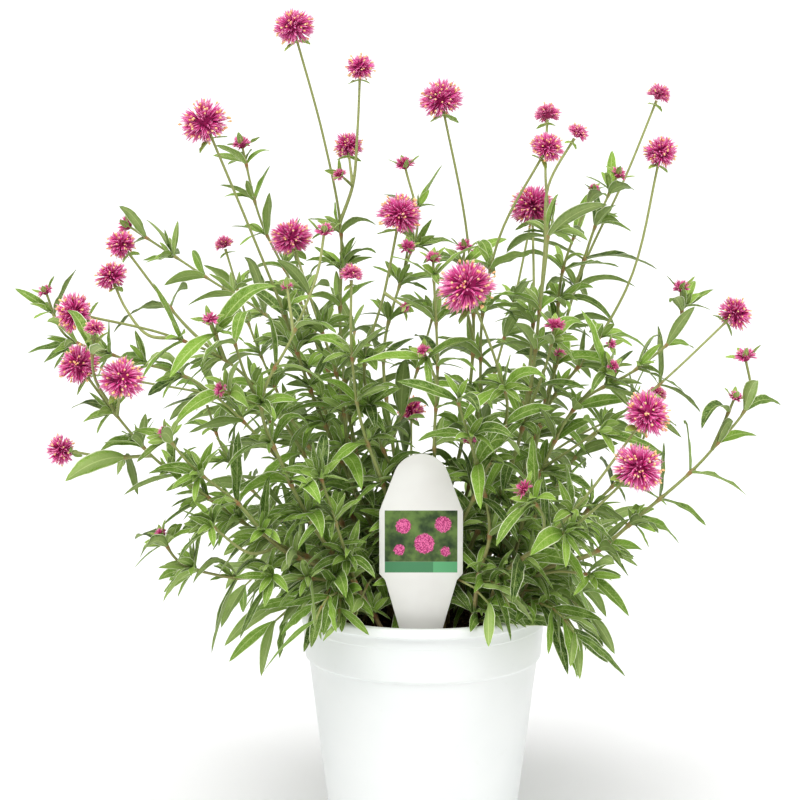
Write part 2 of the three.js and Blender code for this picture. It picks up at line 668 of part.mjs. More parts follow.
// Two small leaves spread just under a head.
function growBracts(stemNumber, shootNumber, shoot) {
  const random = randomStream(stemNumber * 1000 + shootNumber * 100 + 77);
  const distance = shoot.length - 2.4;
  const place = pointAt(shoot, distance);
  const sides = [shootNumber % 2, (shootNumber % 2) + 2];
  const blades = sides.map((side) => {
    for (let attempt = 0; attempt < 6; attempt++) {
      const form = {
        azimuth: (side + 0.5) * (Math.PI / 2) + (random() - 0.5) * 0.3 * (1 + attempt),
        length: shoot.size * (0.62 + 0.2 * random()) + 2,
        width: shoot.size * 0.3 + 1.4,
        angle: 1.75 + 0.25 * random(),
        droop: 0.35 * random(),
        roll: 0,
      };
      const stations = growLeaf(place, form);
      const capsules = leafCapsules(stations, stemNumber, `${stemNumber} ${shootNumber} bract`);
      if (capsules.every((c) => clearOfPot(c) && clearOfOthers(c, stemNumber, ["leaf"], LEAF_MARGIN))) {
        taken.push(...capsules);
        return stations;
      }
    }
    return null;
  });
  shoot.nodes.push({ distance, sides, blades, small: true });
}

// ---- stems and heads as solids ----

// A blade raised from one side of its stem: thick in the middle, thin at the edges, folded upwards.
function bladeSkin(root, stations, picks) {
  let ring = root;
  const out = [];
  for (const k of picks) {
    const { point, across, up, half } = stations[k];
    const thick = LEAF_THICKNESS / 2;
    const rise = LEAF_FOLD * half;
    const next = [
      add(point, add(scale(across, half), scale(up, rise))),
      add(point, scale(up, thick)),
      add(point, add(scale(across, -half), scale(up, rise))),
      add(point, scale(up, -thick)),
    ];
    out.push(...band(ring, next));
    ring = next;
  }
  out.push(...fan(stations[LEAF_STEPS].point, ring, false));
  return out;
}

// A four-sided shoot with its leaves raised from its sides, as one closed body.
function shootSolid(shoot) {
  const thick = shoot.from ? SIDE_SHOOT_RADIUS : MAIN_STEM_RADIUS;
  const ringAt = (distance) => {
    const { point, across, other } = pointAt(shoot, distance);
    const risen = Math.max(0, distance - (shoot.from ? 0 : FOOT_DEPTH + FOOT_RISE));
    const r = thick + (STALK_RADIUS - thick) * Math.min(1, (1.4 * risen) / shoot.length);
    const corner = (a, b) => add(point, add(scale(across, a * r), scale(other, b * r)));
    return [corner(1, 0), corner(0, 1), corner(-1, 0), corner(0, -1)];
  };
  const nodes = shoot.nodes.slice().sort((a, b) => a.distance - b.distance);
  const farFromNodes = (d) => nodes.every((n) => Math.abs(d - n.distance) > NODE_HALF_HEIGHT + 3);
  const needed = neededPoints(shoot.path, shoot.from ? 0 : 1, shoot.path.length - 1);
  const bends = needed.slice(shoot.from ? 1 : 0, -1).map((i) => shoot.along[i]);
  const stops = bends.filter(farFromNodes).map((distance) => ({ distance }));
  stops.push({ distance: 0 }, { distance: shoot.length });
  for (const node of nodes) {
    const half = Math.min(NODE_HALF_HEIGHT, (shoot.length - node.distance) * 0.8);
    stops.push({ distance: node.distance - half, node }, { distance: node.distance + half });
  }
  stops.sort((a, b) => a.distance - b.distance);
  const rings = stops.map((stop) => ringAt(stop.distance));
  const out = cap(rings[0], true);
  for (let k = 0; k + 1 < rings.length; k++) {
    for (let side = 0; side < 4; side++) {
      const next = (side + 1) % 4;
      const corners = [rings[k][side], rings[k][next], rings[k + 1][next], rings[k + 1][side]];
      const node = stops[k].node;
      const blade = node ? node.blades[node.sides.indexOf(side)] : null;
      if (blade) {
        const root = [corners[1], corners[2], corners[3], corners[0]];
        out.push(...bladeSkin(root, blade, node.small ? BRACT_STATIONS : LEAF_STATIONS));
      } else {
        out.push(...quad(...corners, side % 2 === 0));
      }
    }
  }
  out.push(...cap(rings[rings.length - 1], false));
  return solidFrom(out);
}

// A ball of spikes, one on each face of a small core, with none around the stalk below.
function spikedBall(core, radius, seed) {
  const random = randomStream(seed);
  const position = core.attributes.position;
  const corner = (i) => {
    const p = unit([position.getX(i), position.getY(i), position.getZ(i)]);
    return scale([p[0], p[1], p[2] * HEAD_SQUASH], radius * HEAD_CORE);
  };
  const out = [];
  for (let i = 0; i < position.count; i += 3) {
    const [a, b, c] = [corner(i), corner(i + 1), corner(i + 2)];
    const middle = scale(add(a, add(b, c)), 1 / 3);
    const direction = unit([middle[0], middle[1], middle[2] / HEAD_SQUASH]);
    const reach = radius * (0.84 + 0.15 * random());
    const lean = [(random() - 0.5) * 0.1, (random() - 0.5) * 0.1, 0];
    if (direction[2] < SPIKE_LIMIT) {
      out.push(...a, ...b, ...c);
    } else {
      const way = unit(add(direction, lean));
      const tip = scale([way[0], way[1], way[2] * HEAD_SQUASH], reach);
      out.push(...a, ...b, ...tip, ...b, ...c, ...tip, ...c, ...a, ...tip);
    }
  }
  return out;
}

function turnedTo(positions, direction, middle) {
  const turn = new THREE.Quaternion().setFromUnitVectors(new THREE.Vector3(0, 0, 1), new THREE.Vector3(...direction));
  const out = [];
  for (let i = 0; i < positions.length; i += 3) {
    const p = new THREE.Vector3(positions[i], positions[i + 1], positions[i + 2]).applyQuaternion(turn);
    out.push(p.x + middle[0], p.y + middle[1], p.z + middle[2]);
  }
  return out;
}

function tipSolid(shoot, seed) {
  let core = new THREE.OctahedronGeometry(1, 0);
  if (shoot.size >= LARGE_HEAD) {
    core = new THREE.IcosahedronGeometry(1, 1);
  } else if (shoot.isHead) {
    core = new THREE.OctahedronGeometry(1, 1);
  }
  const end = shoot.path[shoot.path.length - 1];
  const before = shoot.isHead ? end : shoot.path[shoot.path.length - 2];
  const direction = unit(sub(shoot.middle, before));
  return solidFrom(turnedTo(spikedBall(core, shoot.size, seed), direction, shoot.middle));
}

// ---- pot, soil and label ----

function turned(profile, sides) {
  const points = profile.map(([r, z]) => new THREE.Vector2(r, z));
  const geometry = new THREE.LatheGeometry(points, sides);
  geometry.rotateX(Math.PI / 2);
  return solidOf(geometry);
}

// An upright prism with the given outline, between two heights.
function prism(outline, low, high) {
  const rings = [low, high].map((z) => outline.map(([x, y]) => [x, y, z]));
  return solidFrom(loft(rings));
}

function potSolid() {
  const collarInner = COLLAR_TOP_RADIUS - POT_WALL;
  const lipFoot = POT_HEIGHT - LIP_HEIGHT;
  let pot = turned([
    [0, 0],
    [BASE_RADIUS - 1.5, 0],
    [BASE_RADIUS, 1.5],
    [BODY_TOP_RADIUS, COLLAR_FOOT_Z - 1],
    [COLLAR_FOOT_RADIUS, COLLAR_FOOT_Z],
    [COLLAR_TOP_RADIUS, lipFoot],
    [LIP_RADIUS, lipFoot + 0.5],
    [LIP_RADIUS, POT_HEIGHT - 1.4],
    [LIP_RADIUS - 1.4, POT_HEIGHT],
    [collarInner, POT_HEIGHT],
    [COLLAR_FOOT_RADIUS - POT_WALL, COLLAR_FOOT_Z],
    [BODY_TOP_RADIUS - POT_WALL, COLLAR_FOOT_Z - 2],
    [BASE_RADIUS - POT_WALL + 0.3, POT_FLOOR],
    [0, POT_FLOOR],
  ], POT_SIDES);
  for (let k = 0; k < DRAIN_HOLES; k++) {
    const angle = ((k + 0.5) * 2 * Math.PI) / DRAIN_HOLES;
    const x = DRAIN_HOLE_CIRCLE * Math.cos(angle);
    const y = DRAIN_HOLE_CIRCLE * Math.sin(angle);
    const outline = [];
    for (let i = 0; i < 10; i++) {
      const turn = (i * 2 * Math.PI) / 10;
      outline.push([x + DRAIN_HOLE_RADIUS * Math.cos(turn), y + DRAIN_HOLE_RADIUS * Math.sin(turn)]);
    }
    pot = pot.subtract(prism(outline, -1, POT_FLOOR + 1));
  }
  return pot;
}

// The label seen from the front: a round cap, straight sloping shoulders, upright sides and a stake
// that narrows to its point.
function labelOutline(grow) {
  const cap = [];
  for (let k = 0; k <= 10; k++) {
    const turn = LABEL_CAP_LOWEST + ((Math.PI - 2 * LABEL_CAP_LOWEST) * k) / 10;
    cap.push([LABEL_CAP_RADIUS * Math.cos(turn), LABEL_TOP + LABEL_CAP_RADIUS * (Math.sin(turn) - 1)]);
  }
  const half = [
    [-LABEL_WIDTH / 2, LABEL_SHOULDER_Z],
    [-LABEL_WIDTH / 2, LABEL_NOTCH_Z + 4],
    [-LABEL_NOTCH_WIDTH / 2, LABEL_NOTCH_Z],
    [-LABEL_STAKE_WIDTH / 2, LABEL_STAKE_Z],
    [-LABEL_STAKE_WIDTH * 0.36, LABEL_POINT_Z + 16],
  ];
  const mirrored = half.slice().reverse().map(([x, z]) => [-x, z]);
  const outline = [...cap, ...half, [0, LABEL_POINT_Z], ...mirrored];
  return outline.map(([x, z]) => [LABEL_CENTRE_X + x * (1 + grow), z - grow * 12]);
}

// The label's outline carried through its thickness.
function labelSolid(grow) {
  const shape = new THREE.Shape(labelOutline(grow).map(([x, z]) => new THREE.Vector2(x, z)));
  const depth = LABEL_THICKNESS + grow * 14;
  const geometry = new THREE.ExtrudeGeometry(shape, { depth, bevelEnabled: false });
  geometry.rotateX(Math.PI / 2);
  geometry.translate(0, LABEL_Y + depth / 2, 0);
  return solidOf(geometry);
}

function soilSolid() {
  const random = randomStream(5);
  const bodyInner = BODY_TOP_RADIUS - POT_WALL - CLEARANCE;
  const profile = [
    [BASE_RADIUS - POT_WALL - CLEARANCE, POT_FLOOR + 0.3],
    [bodyInner - 0.05, COLLAR_FOOT_Z - 1.9],
    [COLLAR_FOOT_RADIUS - POT_WALL - CLEARANCE - 0.1, COLLAR_FOOT_Z + 0.3],
    [COLLAR_FOOT_RADIUS - POT_WALL - CLEARANCE + 0.6, SOIL_TOP - 3],
    [66, SOIL_TOP],
    [51, SOIL_TOP],
    [34, SOIL_TOP],
    [17, SOIL_TOP],
  ];
  const rings = profile.map(([r, z], level) => {
    const ring = [];
    for (let i = 0; i < SOIL_SIDES; i++) {
      const turn = (i * 2 * Math.PI) / SOIL_SIDES;
      const bump = level > 3 ? SOIL_BUMP * (2 * random() - 1) : 0;
      ring.push([r * Math.sin(turn), -r * Math.cos(turn), z + bump]);
    }
    return ring;
  });
  const skin = fan([0, 0, POT_FLOOR + 0.3], rings[0], true);
  for (let k = 0; k + 1 < rings.length; k++) {
    skin.push(...band(rings[k], rings[k + 1]));
  }
  skin.push(...fan([0, 0, SOIL_TOP], rings[rings.length - 1], false));
  let soil = solidFrom(skin);
  for (const stem of STEMS) {
    const [x, y] = stem.foot;
    const r = MAIN_STEM_RADIUS + CLEARANCE * Math.SQRT2;
    const outline = [[x + r, y], [x, y + r], [x - r, y], [x, y - r]];
    soil = soil.subtract(prism(outline, SOIL_TOP - FOOT_DEPTH - CLEARANCE, SOIL_TOP + 10));
  }
  return soil.subtract(labelSolid(0.06));
}

// ---- the whole plant ----

const plant = new THREE.Group();
plant.add(meshOf(potSolid(), "pot", WHITE_PLASTIC));
plant.add(meshOf(soilSolid(), "soil", POTTING_MIX));
plant.add(meshOf(labelSolid(0), "plant_label", LABEL_PLASTIC));

const stems = [];
STEMS.forEach(({ foot, shoots }, stemNumber) => {
  const laid = [];
  for (const shoot of shoots) {
    laid.push(layShoot(stemNumber, foot, laid, shoot));
  }
  stems.push(laid);
});

stems.forEach((shoots, stemNumber) => {
  shoots.forEach((shoot, shootNumber) => {
    if (shoot.isHead) {
      growBracts(stemNumber, shootNumber, shoot);
    }
  });
});

stems.forEach((shoots, stemNumber) => {
  shoots.forEach((shoot, shootNumber) => growLeaves(stemNumber, shootNumber, shoot));
});

const numbered = (name, number) => `${name}_${String(number).padStart(2, "0")}`;
let headNumber = 0;
stems.forEach((shoots, stemNumber) => {
  let solid = null;
  const join = (piece) => {
    solid = solid ? solid.add(piece) : piece;
  };
  shoots.forEach((shoot, shootNumber) => {
    join(shootSolid(shoot));
    const seed = stemNumber * 10 + shootNumber + 500;
    if (shoot.isHead) {
      headNumber += 1;
      const finish = shoot.tip === "head" ? PINK : YOUNG_PINK;
      plant.add(meshOf(tipSolid(shoot, seed), numbered("flower_head", headNumber), finish));
    } else if (shoot.tip === "bud") {
      join(tipSolid(shoot, seed));
    }
  });
  plant.add(meshOf(solid, numbered("leafy_stem", stemNumber + 1), GREEN));
});

export default plant;
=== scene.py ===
"""A potted globe amaranth, dressed over its solid model.

The plant is grown by the same rule as its solids: every shoot follows the table below, is bent in depth
until it is clear of the others, and carries pairs of leaves that are turned until they are clear too.
Sizes are in millimetres, and become metres where a mesh is made. The front is towards -Y.
"""
import math

import bmesh
import bpy
import numpy as np
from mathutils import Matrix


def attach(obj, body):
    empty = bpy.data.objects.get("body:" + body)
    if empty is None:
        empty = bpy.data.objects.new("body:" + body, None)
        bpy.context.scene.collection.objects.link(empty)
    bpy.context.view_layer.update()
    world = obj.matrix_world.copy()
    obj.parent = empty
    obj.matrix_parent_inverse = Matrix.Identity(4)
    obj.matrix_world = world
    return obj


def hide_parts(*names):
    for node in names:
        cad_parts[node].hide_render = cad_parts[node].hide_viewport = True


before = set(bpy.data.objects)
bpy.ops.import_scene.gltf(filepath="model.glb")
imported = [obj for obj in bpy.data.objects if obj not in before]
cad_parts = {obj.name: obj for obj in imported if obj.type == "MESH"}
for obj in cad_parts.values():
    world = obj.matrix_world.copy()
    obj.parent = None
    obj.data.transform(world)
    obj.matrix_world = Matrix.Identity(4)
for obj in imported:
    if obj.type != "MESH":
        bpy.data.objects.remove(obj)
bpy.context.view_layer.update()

# Pot
POT_HEIGHT = 165
LIP_RADIUS = 82.5
LIP_HEIGHT = 6.5
COLLAR_TOP_RADIUS = 78.8
COLLAR_FOOT_RADIUS = 76.6
COLLAR_FOOT_Z = 130
BODY_TOP_RADIUS = 74.4
BASE_RADIUS = 58.5
POT_WALL = 1.7
POT_FLOOR = 3
DRAIN_HOLES = 8
DRAIN_HOLE_RADIUS = 5
DRAIN_HOLE_CIRCLE = 43

# Soil
SOIL_TOP = 148
CLEARANCE = 0.35

# Label
LABEL_THICKNESS = 0.9
LABEL_TOP = 271
LABEL_CAP_RADIUS = 17.5
LABEL_CAP_LOWEST = 0.36
LABEL_SHOULDER_Z = 235
LABEL_WIDTH = 51.7
LABEL_NOTCH_Z = 192
LABEL_NOTCH_WIDTH = 44.5
LABEL_STAKE_WIDTH = 27.4
LABEL_STAKE_Z = 162
LABEL_POINT_Z = 100
LABEL_CENTRE_X = -2
LABEL_Y = -62
LABEL_VIEW_SLOPE = 0.2

# Stems
FOOT_DEPTH = 22
FOOT_RISE = 5
MAIN_STEM_RADIUS = 1.75
SIDE_SHOOT_RADIUS = 1.3
STALK_RADIUS = 1.05
CURVE_STEPS = 8
STEM_MARGIN = 1.2
STALK_CAPSULES = 2
JOINT_CAPSULES = 3
SHORTEST_STEP = 0.5

# Leaves
LEAF_LENGTH = 48
LEAF_WIDTH = 10.5
LEAF_ROOT_WIDTH = 2.2
LEAF_FOLD = 0.22
LEAF_PITCH = 45
LEAF_STEPS = 20
LEAF_STATIONS = (0, 7, 14, LEAF_STEPS)
LEAF_TRIES = 12
LEAF_MARGIN = 0.8
FIRST_PAIR_RISE = 16
FIRST_PAIR_ON_SIDE_SHOOT = 20
LAST_PAIR_SPACE = 0.4
YOUNG_LENGTH = 30
NODE_HALF_HEIGHT = 1.2

# A leaf's capsules are this many times as wide as its blade, so that they cover it
LEAF_COVER = 1.04

# Twigs: the share of leaf axils that carry one, its radius, and how clear it keeps of others
AXIL_SHARE = 0.42
TWIG_RADIUS = 0.8
TWIG_MARGIN = 0.2
TWIG_LEAF_SHARE = 0.3

# Weak low twigs: how many a stem on either side has, the least length of one and how much longer it may be,
# how high over a stem's foot they spring and over what height, and the midrib steps to a leaf pair
LOW_TWIGS = {"left": 5, "right": 2}
LOW_TWIG_LENGTH = {"left": 42, "right": 26}
LOW_TWIG_GAIN = 52
LOW_TWIG_RISE = 5
LOW_TWIG_ZONE = 30
LOW_TWIG_STEP = 4

# How far below the lip low growth may hang in front of it and beside it, from how far off the middle a
# place counts as beside and over what width that comes in, and how far back the front reaches
HANG_IN_FRONT = 4
HANG_BESIDE = 34
BESIDE_FROM = 64
BESIDE_OVER = 30
FRONT_TO_Y = 30

# How clear growth keeps of the pot and of the soil, and up to what height over the soil a stem need not
POT_MARGIN = 1
SOIL_MARGIN = 4
STEM_FREE_HEIGHT = 8

# The streams of random numbers and the sites of growth are numbered in series, so that none is used twice
BRACT_STREAM, BRACT_SITE = 77, 99
MIDDLE_SERIES = 200
AXIL_SERIES = 400
LOW_TWIG_STREAM, LOW_TWIG_SITE = 800, 9000

# Flower heads: how far from its middle a stalk ends, and its height, as shares of its radius
HEAD_CORE = 0.52
HEAD_SQUASH = 0.88

# Where the eye stands, and how its picture is framed.
EYE = (-15, -1300, 465)
EYE_PITCH = 7.4
EYE_LENS = 91.9

# One row for each leafy stem: its foot (x, y) on the soil, then its shoots. The first shoot rises from the
# foot, and a later one leaves point from[1] of shoot from[0]. A shoot is (from, tip, size, bare, path):
# tip is "head", "young" (a small head), "bud" or "leafy", size its radius, bare the leafless length, and
# the path lists (x, z, depth) as seen on the upright plane through the pot's axis.
STEMS = [
    ((-10, 14), [
        (None, "head", 14, 130, [(-33, 218, 14), (-46, 277, 22), (-53, 338, 30), (-53, 410, 38),
                                 (-63, 462, 38), (-82, 532, 35)]),
        ((0, 3), "head", 10.5, 80, [(-45, 433, 42), (-42, 465, 42), (-40, 507, 42)]),
        ((1, 0), "head", 10.5, 30, [(-48, 458, 54)]),
        ((1, 0), "bud", 4, 20, [(-53, 440, 30)]),
    ]),
    ((-18, -16), [
        (None, "head", 16, 120, [(-25, 192, -20), (-47, 244, -30), (-70, 296, -38), (-91, 357, -45),
                                 (-110, 405, -52), (-138, 473, -60)]),
        ((0, 1), "head", 14, 32, [(-55, 310, -46), (-70, 355, -38), (-84, 400, -20)]),
    ]),
    ((-22, 26), [
        (None, "bud", 6, 14, [(-28, 198, 28), (-46, 264, 45), (-67, 332, 72), (-85, 373, 84),
                              (-103, 410, 92), (-115, 459, 98)]),
        ((0, 0), "young", 7, 30, [(-55, 238, 60), (-86, 286, 90), (-108, 335, 110), (-127, 396, 124)]),
    ]),
    ((-38, 8), [
        (None, "bud", 6, 16, [(-40, 195, 12), (-54, 251, 22), (-68, 303, 34), (-93, 344, 48),
                              (-137, 374, 66), (-188, 408, 84)]),
        ((0, 0), "bud", 4.5, 16, [(-68, 224, 14), (-104, 270, 18), (-150, 310, 20), (-201, 326, 14),
                                  (-229, 338, 8), (-241, 366, 6)]),
    ]),
    ((-42, -12), [
        (None, "head", 13, 62, [(-44, 192, -16), (-68, 244, -32), (-98, 293, -46), (-127, 322, -58),
                                (-158, 336, -66), (-223, 352, -82)]),
        ((0, 4), "head", 10.5, 40, [(-176, 338, -60), (-190, 355, -56), (-199, 376, -53)]),
        ((0, 3), "head", 10.5, 46, [(-148, 340, -40), (-192, 396, -22)]),
        ((0, 3), "bud", 4.5, 12, [(-136, 348, -76)]),
    ]),
    ((-48, -34), [
        (None, "head", 13.5, 30, [(-56, 180, -44), (-98, 204, -70), (-141, 234, -90), (-175, 260, -100),
                                  (-197, 286, -104), (-221, 319, -108)]),
        ((0, 4), "head", 13.5, 20, [(-193, 310, -134)]),
        ((0, 4), "young", 6.5, 12, [(-212, 318, -142), (-210, 342, -140)]),
        ((0, 3), "head", 10, 40, [(-202, 259, -84), (-233, 264, -72)]),
    ]),
    ((-40, -52), [
        (None, "bud", 3.5, 8, [(-55, 178, -64), (-94, 200, -80), (-120, 229, -100), (-151, 255, -118),
                               (-167, 275, -126)]),
        ((0, 0), "bud", 3.8, 8, [(-92, 180, -84), (-131, 181, -100), (-160, 192, -104), (-170, 208, -104)]),
        ((0, 1), "leafy", 0, 0, [(-112, 196, -102), (-137, 214, -118)]),
    ]),
    ((-24, -48), [
        (None, "bud", 5, 60, [(-44, 176, -56), (-70, 212, -70), (-90, 252, -84), (-104, 292, -92),
                              (-83, 339, -100), (-67, 380, -101), (-63, 404, -100)]),
        ((0, 3), "leafy", 0, 0, [(-114, 312, -97), (-121, 334, -104)]),
        ((0, 3), "bud", 4, 8, [(-130, 303, -112)]),
        ((0, 4), "bud", 3.5, 12, [(-87, 369, -90)]),
        ((0, 0), "leafy", 0, 0, [(-54, 208, -78), (-66, 246, -90)]),
    ]),
    ((-3, -32), [
        (None, "young", 7.5, 48, [(-10, 188, -40), (-25, 238, -58), (-41, 286, -72), (-46, 328, -80),
                                  (-46, 377, -83)]),
        ((0, 0), "head", 14.5, 88, [(-18, 244, -44), (-33, 283, -50), (-38, 312, -54), (-25, 365, -62),
                                    (-15, 415, -66)]),
        ((1, 3), "bud", 3, 6, [(-12, 356, -72)]),
    ]),
    ((2, 28), [
        (None, "bud", 6, 32, [(-8, 201, 32), (-20, 270, 46), (-25, 332, 58), (-12, 380, 63),
                              (-4, 406, 65), (-12, 446, 65)]),
        ((0, 3), "bud", 5, 8, [(-10, 394, 50)]),
        ((0, 1), "leafy", 0, 0, [(-4, 315, 80), (6, 350, 96)]),
    ]),
    ((16, 6), [
        (None, "head", 16, 110, [(11, 201, 14), (25, 270, 34), (32, 335, 50), (28, 399, 60), (11, 487, 69)]),
        ((0, 0), "head", 11, 80, [(29, 238, 0), (36, 296, -10), (38, 354, -16), (48, 400, -22),
                                  (78, 457, -36)]),
        ((0, 2), "bud", 5.5, 14, [(25, 372, 32), (26, 394, 31)]),
    ]),
    ((12, -44), [
        (None, "head", 18, 66, [(16, 192, -54), (38, 244, -80), (54, 291, -98), (48, 316, -108),
                                (28, 369, -118)]),
        ((0, 0), "bud", 4.5, 12, [(7, 268, -60), (9, 307, -72), (6, 387, -82)]),
        ((1, 1), "bud", 4, 8, [(0, 328, -90)]),
        ((0, 1), "leafy", 0, 0, [(30, 270, -96), (22, 296, -106)]),
    ]),
    ((32, -18), [
        (None, "young", 7, 110, [(29, 194, -26), (51, 238, -36), (65, 283, -44), (74, 354, -50),
                                 (77, 395, -56), (79, 433, -62), (97, 466, -64)]),
        ((0, 2), "head", 16, 70, [(70, 345, -28), (69, 420, 0)]),
        ((0, 3), "young", 8.5, 85, [(79, 405, -24), (77, 444, 4), (78, 478, 10)]),
        ((0, 2), "bud", 5.5, 12, [(80, 324, -64), (84, 344, -70)]),
    ]),
    ((34, 22), [
        (None, "young", 9, 140, [(42, 192, 30), (69, 260, 50), (85, 322, 70), (97, 369, 84),
                                 (130, 444, 100), (148, 490, 104)]),
        ((0, 3), "bud", 5, 14, [(111, 413, 75), (123, 440, 74)]),
        ((0, 2), "bud", 3.5, 10, [(89, 381, 44), (108, 431, 37)]),
    ]),
    ((48, 4), [
        (None, "head", 12, 120, [(48, 184, 4), (68, 241, 6), (78, 288, 8), (107, 328, 8), (129, 367, 8),
                                 (150, 454, 8)]),
        ((0, 0), "head", 12.5, 66, [(75, 224, 30), (107, 270, 50), (150, 305, 66), (199, 352, 82)]),
        ((0, 2), "bud", 3.5, 8, [(87, 326, -6)]),
        ((0, 3), "bud", 3, 6, [(120, 332, -12)]),
    ]),
    ((54, -16), [
        (None, "bud", 5, 14, [(57, 180, -24), (77, 252, -46), (100, 294, -54), (139, 318, -58),
                              (164, 344, -56), (164, 368, -54)]),
        ((0, 2), "bud", 3.8, 8, [(121, 318, -68)]),
        ((0, 1), "leafy", 0, 0, [(92, 262, -68), (112, 276, -84)]),
    ]),
    ((56, -34), [
        (None, "bud", 6, 34, [(70, 180, -46), (112, 197, -62), (138, 219, -68), (186, 264, -75),
                              (210, 300, -76), (206, 324, -76)]),
        ((0, 3), "bud", 4, 10, [(200, 298, -78)]),
        ((0, 0), "leafy", 0, 0, [(88, 184, -74), (108, 182, -94)]),
    ]),
    ((38, -50), [
        (None, "head", 15, 72, [(50, 180, -64), (74, 200, -84), (99, 226, -104), (144, 287, -121)]),
        ((0, 1), "head", 16, 62, [(98, 214, -118), (139, 252, -142)]),
        ((0, 1), "bud", 5.5, 12, [(77, 222, -108), (65, 238, -112)]),
    ]),
    ((30, -58), [
        (None, "bud", 4.5, 10, [(36, 180, -64), (43, 207, -70), (40, 234, -74), (30, 270, -78)]),
    ]),
    ((-14, 44), [
        (None, "head", 12, 64, [(-25, 211, 70), (-50, 277, 105), (-71, 341, 128), (-84, 399, 142)]),
        ((0, 0), "head", 12, 54, [(-60, 251, 110), (-120, 294, 146), (-192, 310, 150)]),
        ((0, 1), "leafy", 0, 0, [(-46, 316, 146), (-44, 342, 166)]),
    ]),
    ((26, 46), [
        (None, "head", 13, 54, [(30, 205, 75), (69, 251, 110), (107, 277, 125), (146, 292, 128)]),
        ((0, 0), "head", 12, 64, [(36, 270, 110), (60, 370, 148), (70, 420, 152)]),
        ((0, 1), "leafy", 0, 0, [(64, 296, 146), (70, 322, 166)]),
    ]),
    ((4, 58), [
        (None, "head", 11, 40, [(4, 196, 84), (-6, 236, 116), (-8, 290, 150)]),
        ((0, 0), "leafy", 0, 0, [(24, 214, 116), (34, 226, 146)]),
    ]),
    ((-46, 38), [
        (None, "young", 7, 20, [(-62, 190, 52), (-98, 224, 74), (-128, 262, 92), (-140, 296, 98)]),
        ((0, 0), "leafy", 0, 0, [(-82, 200, 84), (-104, 208, 116)]),
    ]),
    ((56, 28), [
        (None, "young", 7, 20, [(70, 190, 44), (104, 222, 62), (136, 258, 76), (150, 300, 80)]),
        ((0, 0), "leafy", 0, 0, [(92, 204, 76), (112, 214, 108)]),
    ]),
]

STEM, STALK, HEAD, BUD, LEAF = range(5)
UP = np.array([0.0, 0.0, 1.0])


def unit(v):
    """A vector, or each vector of an array, divided by its length."""
    return v / np.sqrt((v * v).sum(-1, keepdims=True))


def random_stream(seed):
    """Numbers from 0 to 1: each state is the last one times 1664525 plus 1013904223, modulo 2^32.

    The first two states are passed over.
    """
    state = (seed * 7919 + 12345) % 2 ** 32
    passed = 0
    while True:
        state = (state * 1664525 + 1013904223) % 2 ** 32
        passed += 1
        if passed > 2:
            yield state / 2 ** 32


# ---- growth: paths ----

def real_place(x, z, depth):
    """The point seen at (x, z) on the middle plane, moved along the line of sight to its depth."""
    spread = 1 - depth / EYE[1]
    return np.array([EYE[0] + (x - EYE[0]) * spread, depth, EYE[2] + (z - EYE[2]) * spread])


def smooth_path(points):
    """Cubic Hermite spans through the points; each slope weighs the neighbouring chords by length."""
    chord = points[1:] - points[:-1]
    length = np.sqrt((chord * chord).sum(1))
    slope = np.empty_like(points)
    slope[0] = chord[0] / length[0]
    slope[-1] = chord[-1] / length[-1]
    for i in range(1, len(points) - 1):
        before = chord[i - 1] * (length[i] / length[i - 1])
        after = chord[i] * (length[i - 1] / length[i])
        slope[i] = (before + after) / (length[i - 1] + length[i])
    path = [points[0]]
    for i in range(len(chord)):
        for k in range(1, CURVE_STEPS + 1):
            t = k / CURVE_STEPS
            path.append(points[i] * (2 * t ** 3 - 3 * t ** 2 + 1)
                        + slope[i] * ((t ** 3 - 2 * t ** 2 + t) * length[i])
                        + points[i + 1] * (3 * t ** 2 - 2 * t ** 3)
                        + slope[i + 1] * ((t ** 3 - t ** 2) * length[i]))
    return np.array(path)


def lengths_along(path):
    """The distance of each point of a path from its start."""
    steps = path[1:] - path[:-1]
    return np.concatenate([[0.0], np.cumsum(np.sqrt((steps * steps).sum(1)))])


def crosswise_along(path, turn):
    """A crosswise direction at each point of a path, carried along without twist."""
    first = unit(path[1] - path[0])
    helper = UP if abs(first[2]) < 0.9 else np.array([0.0, -1.0, 0.0])
    e1 = unit(np.cross(helper, first))
    e2 = np.cross(first, e1)
    across = e1 * math.cos(turn) + e2 * math.sin(turn)
    carried = []
    for i in range(len(path)):
        direction = unit(path[min(i + 1, len(path) - 1)] - path[max(i - 1, 0)])
        across = unit(across - direction * (across @ direction))
        carried.append(across)
    return np.array(carried)


def point_at(shoot, distance):
    """The point, the direction and two crosswise directions of a shoot at a distance from its start."""
    path, along = shoot["path"], shoot["along"]
    i = 1
    while i < len(path) - 1 and along[i] < distance:
        i += 1
    t = (distance - along[i - 1]) / (along[i] - along[i - 1])
    before = unit(path[i] - path[max(i - 2, 0)])
    after = unit(path[min(i + 1, len(path) - 1)] - path[i - 1])
    direction = unit(before * (1 - t) + after * t)
    carried = shoot["crosswise"][i - 1] * (1 - t) + shoot["crosswise"][i] * t
    across = unit(carried - direction * (carried @ direction))
    return path[i - 1] * (1 - t) + path[i] * t, direction, across, np.cross(direction, across)


# ---- growth: clearance ----

MOST_CAPSULES = 20000
taken = {
    "a": np.zeros((MOST_CAPSULES, 3)), "b": np.zeros((MOST_CAPSULES, 3)), "r": np.zeros(MOST_CAPSULES),
    "owner": np.zeros(MOST_CAPSULES, int), "kind": np.zeros(MOST_CAPSULES, int),
    "site": np.zeros(MOST_CAPSULES, int), "middle": np.zeros((MOST_CAPSULES, 3)),
    "around": np.zeros(MOST_CAPSULES), "count": 0,
}


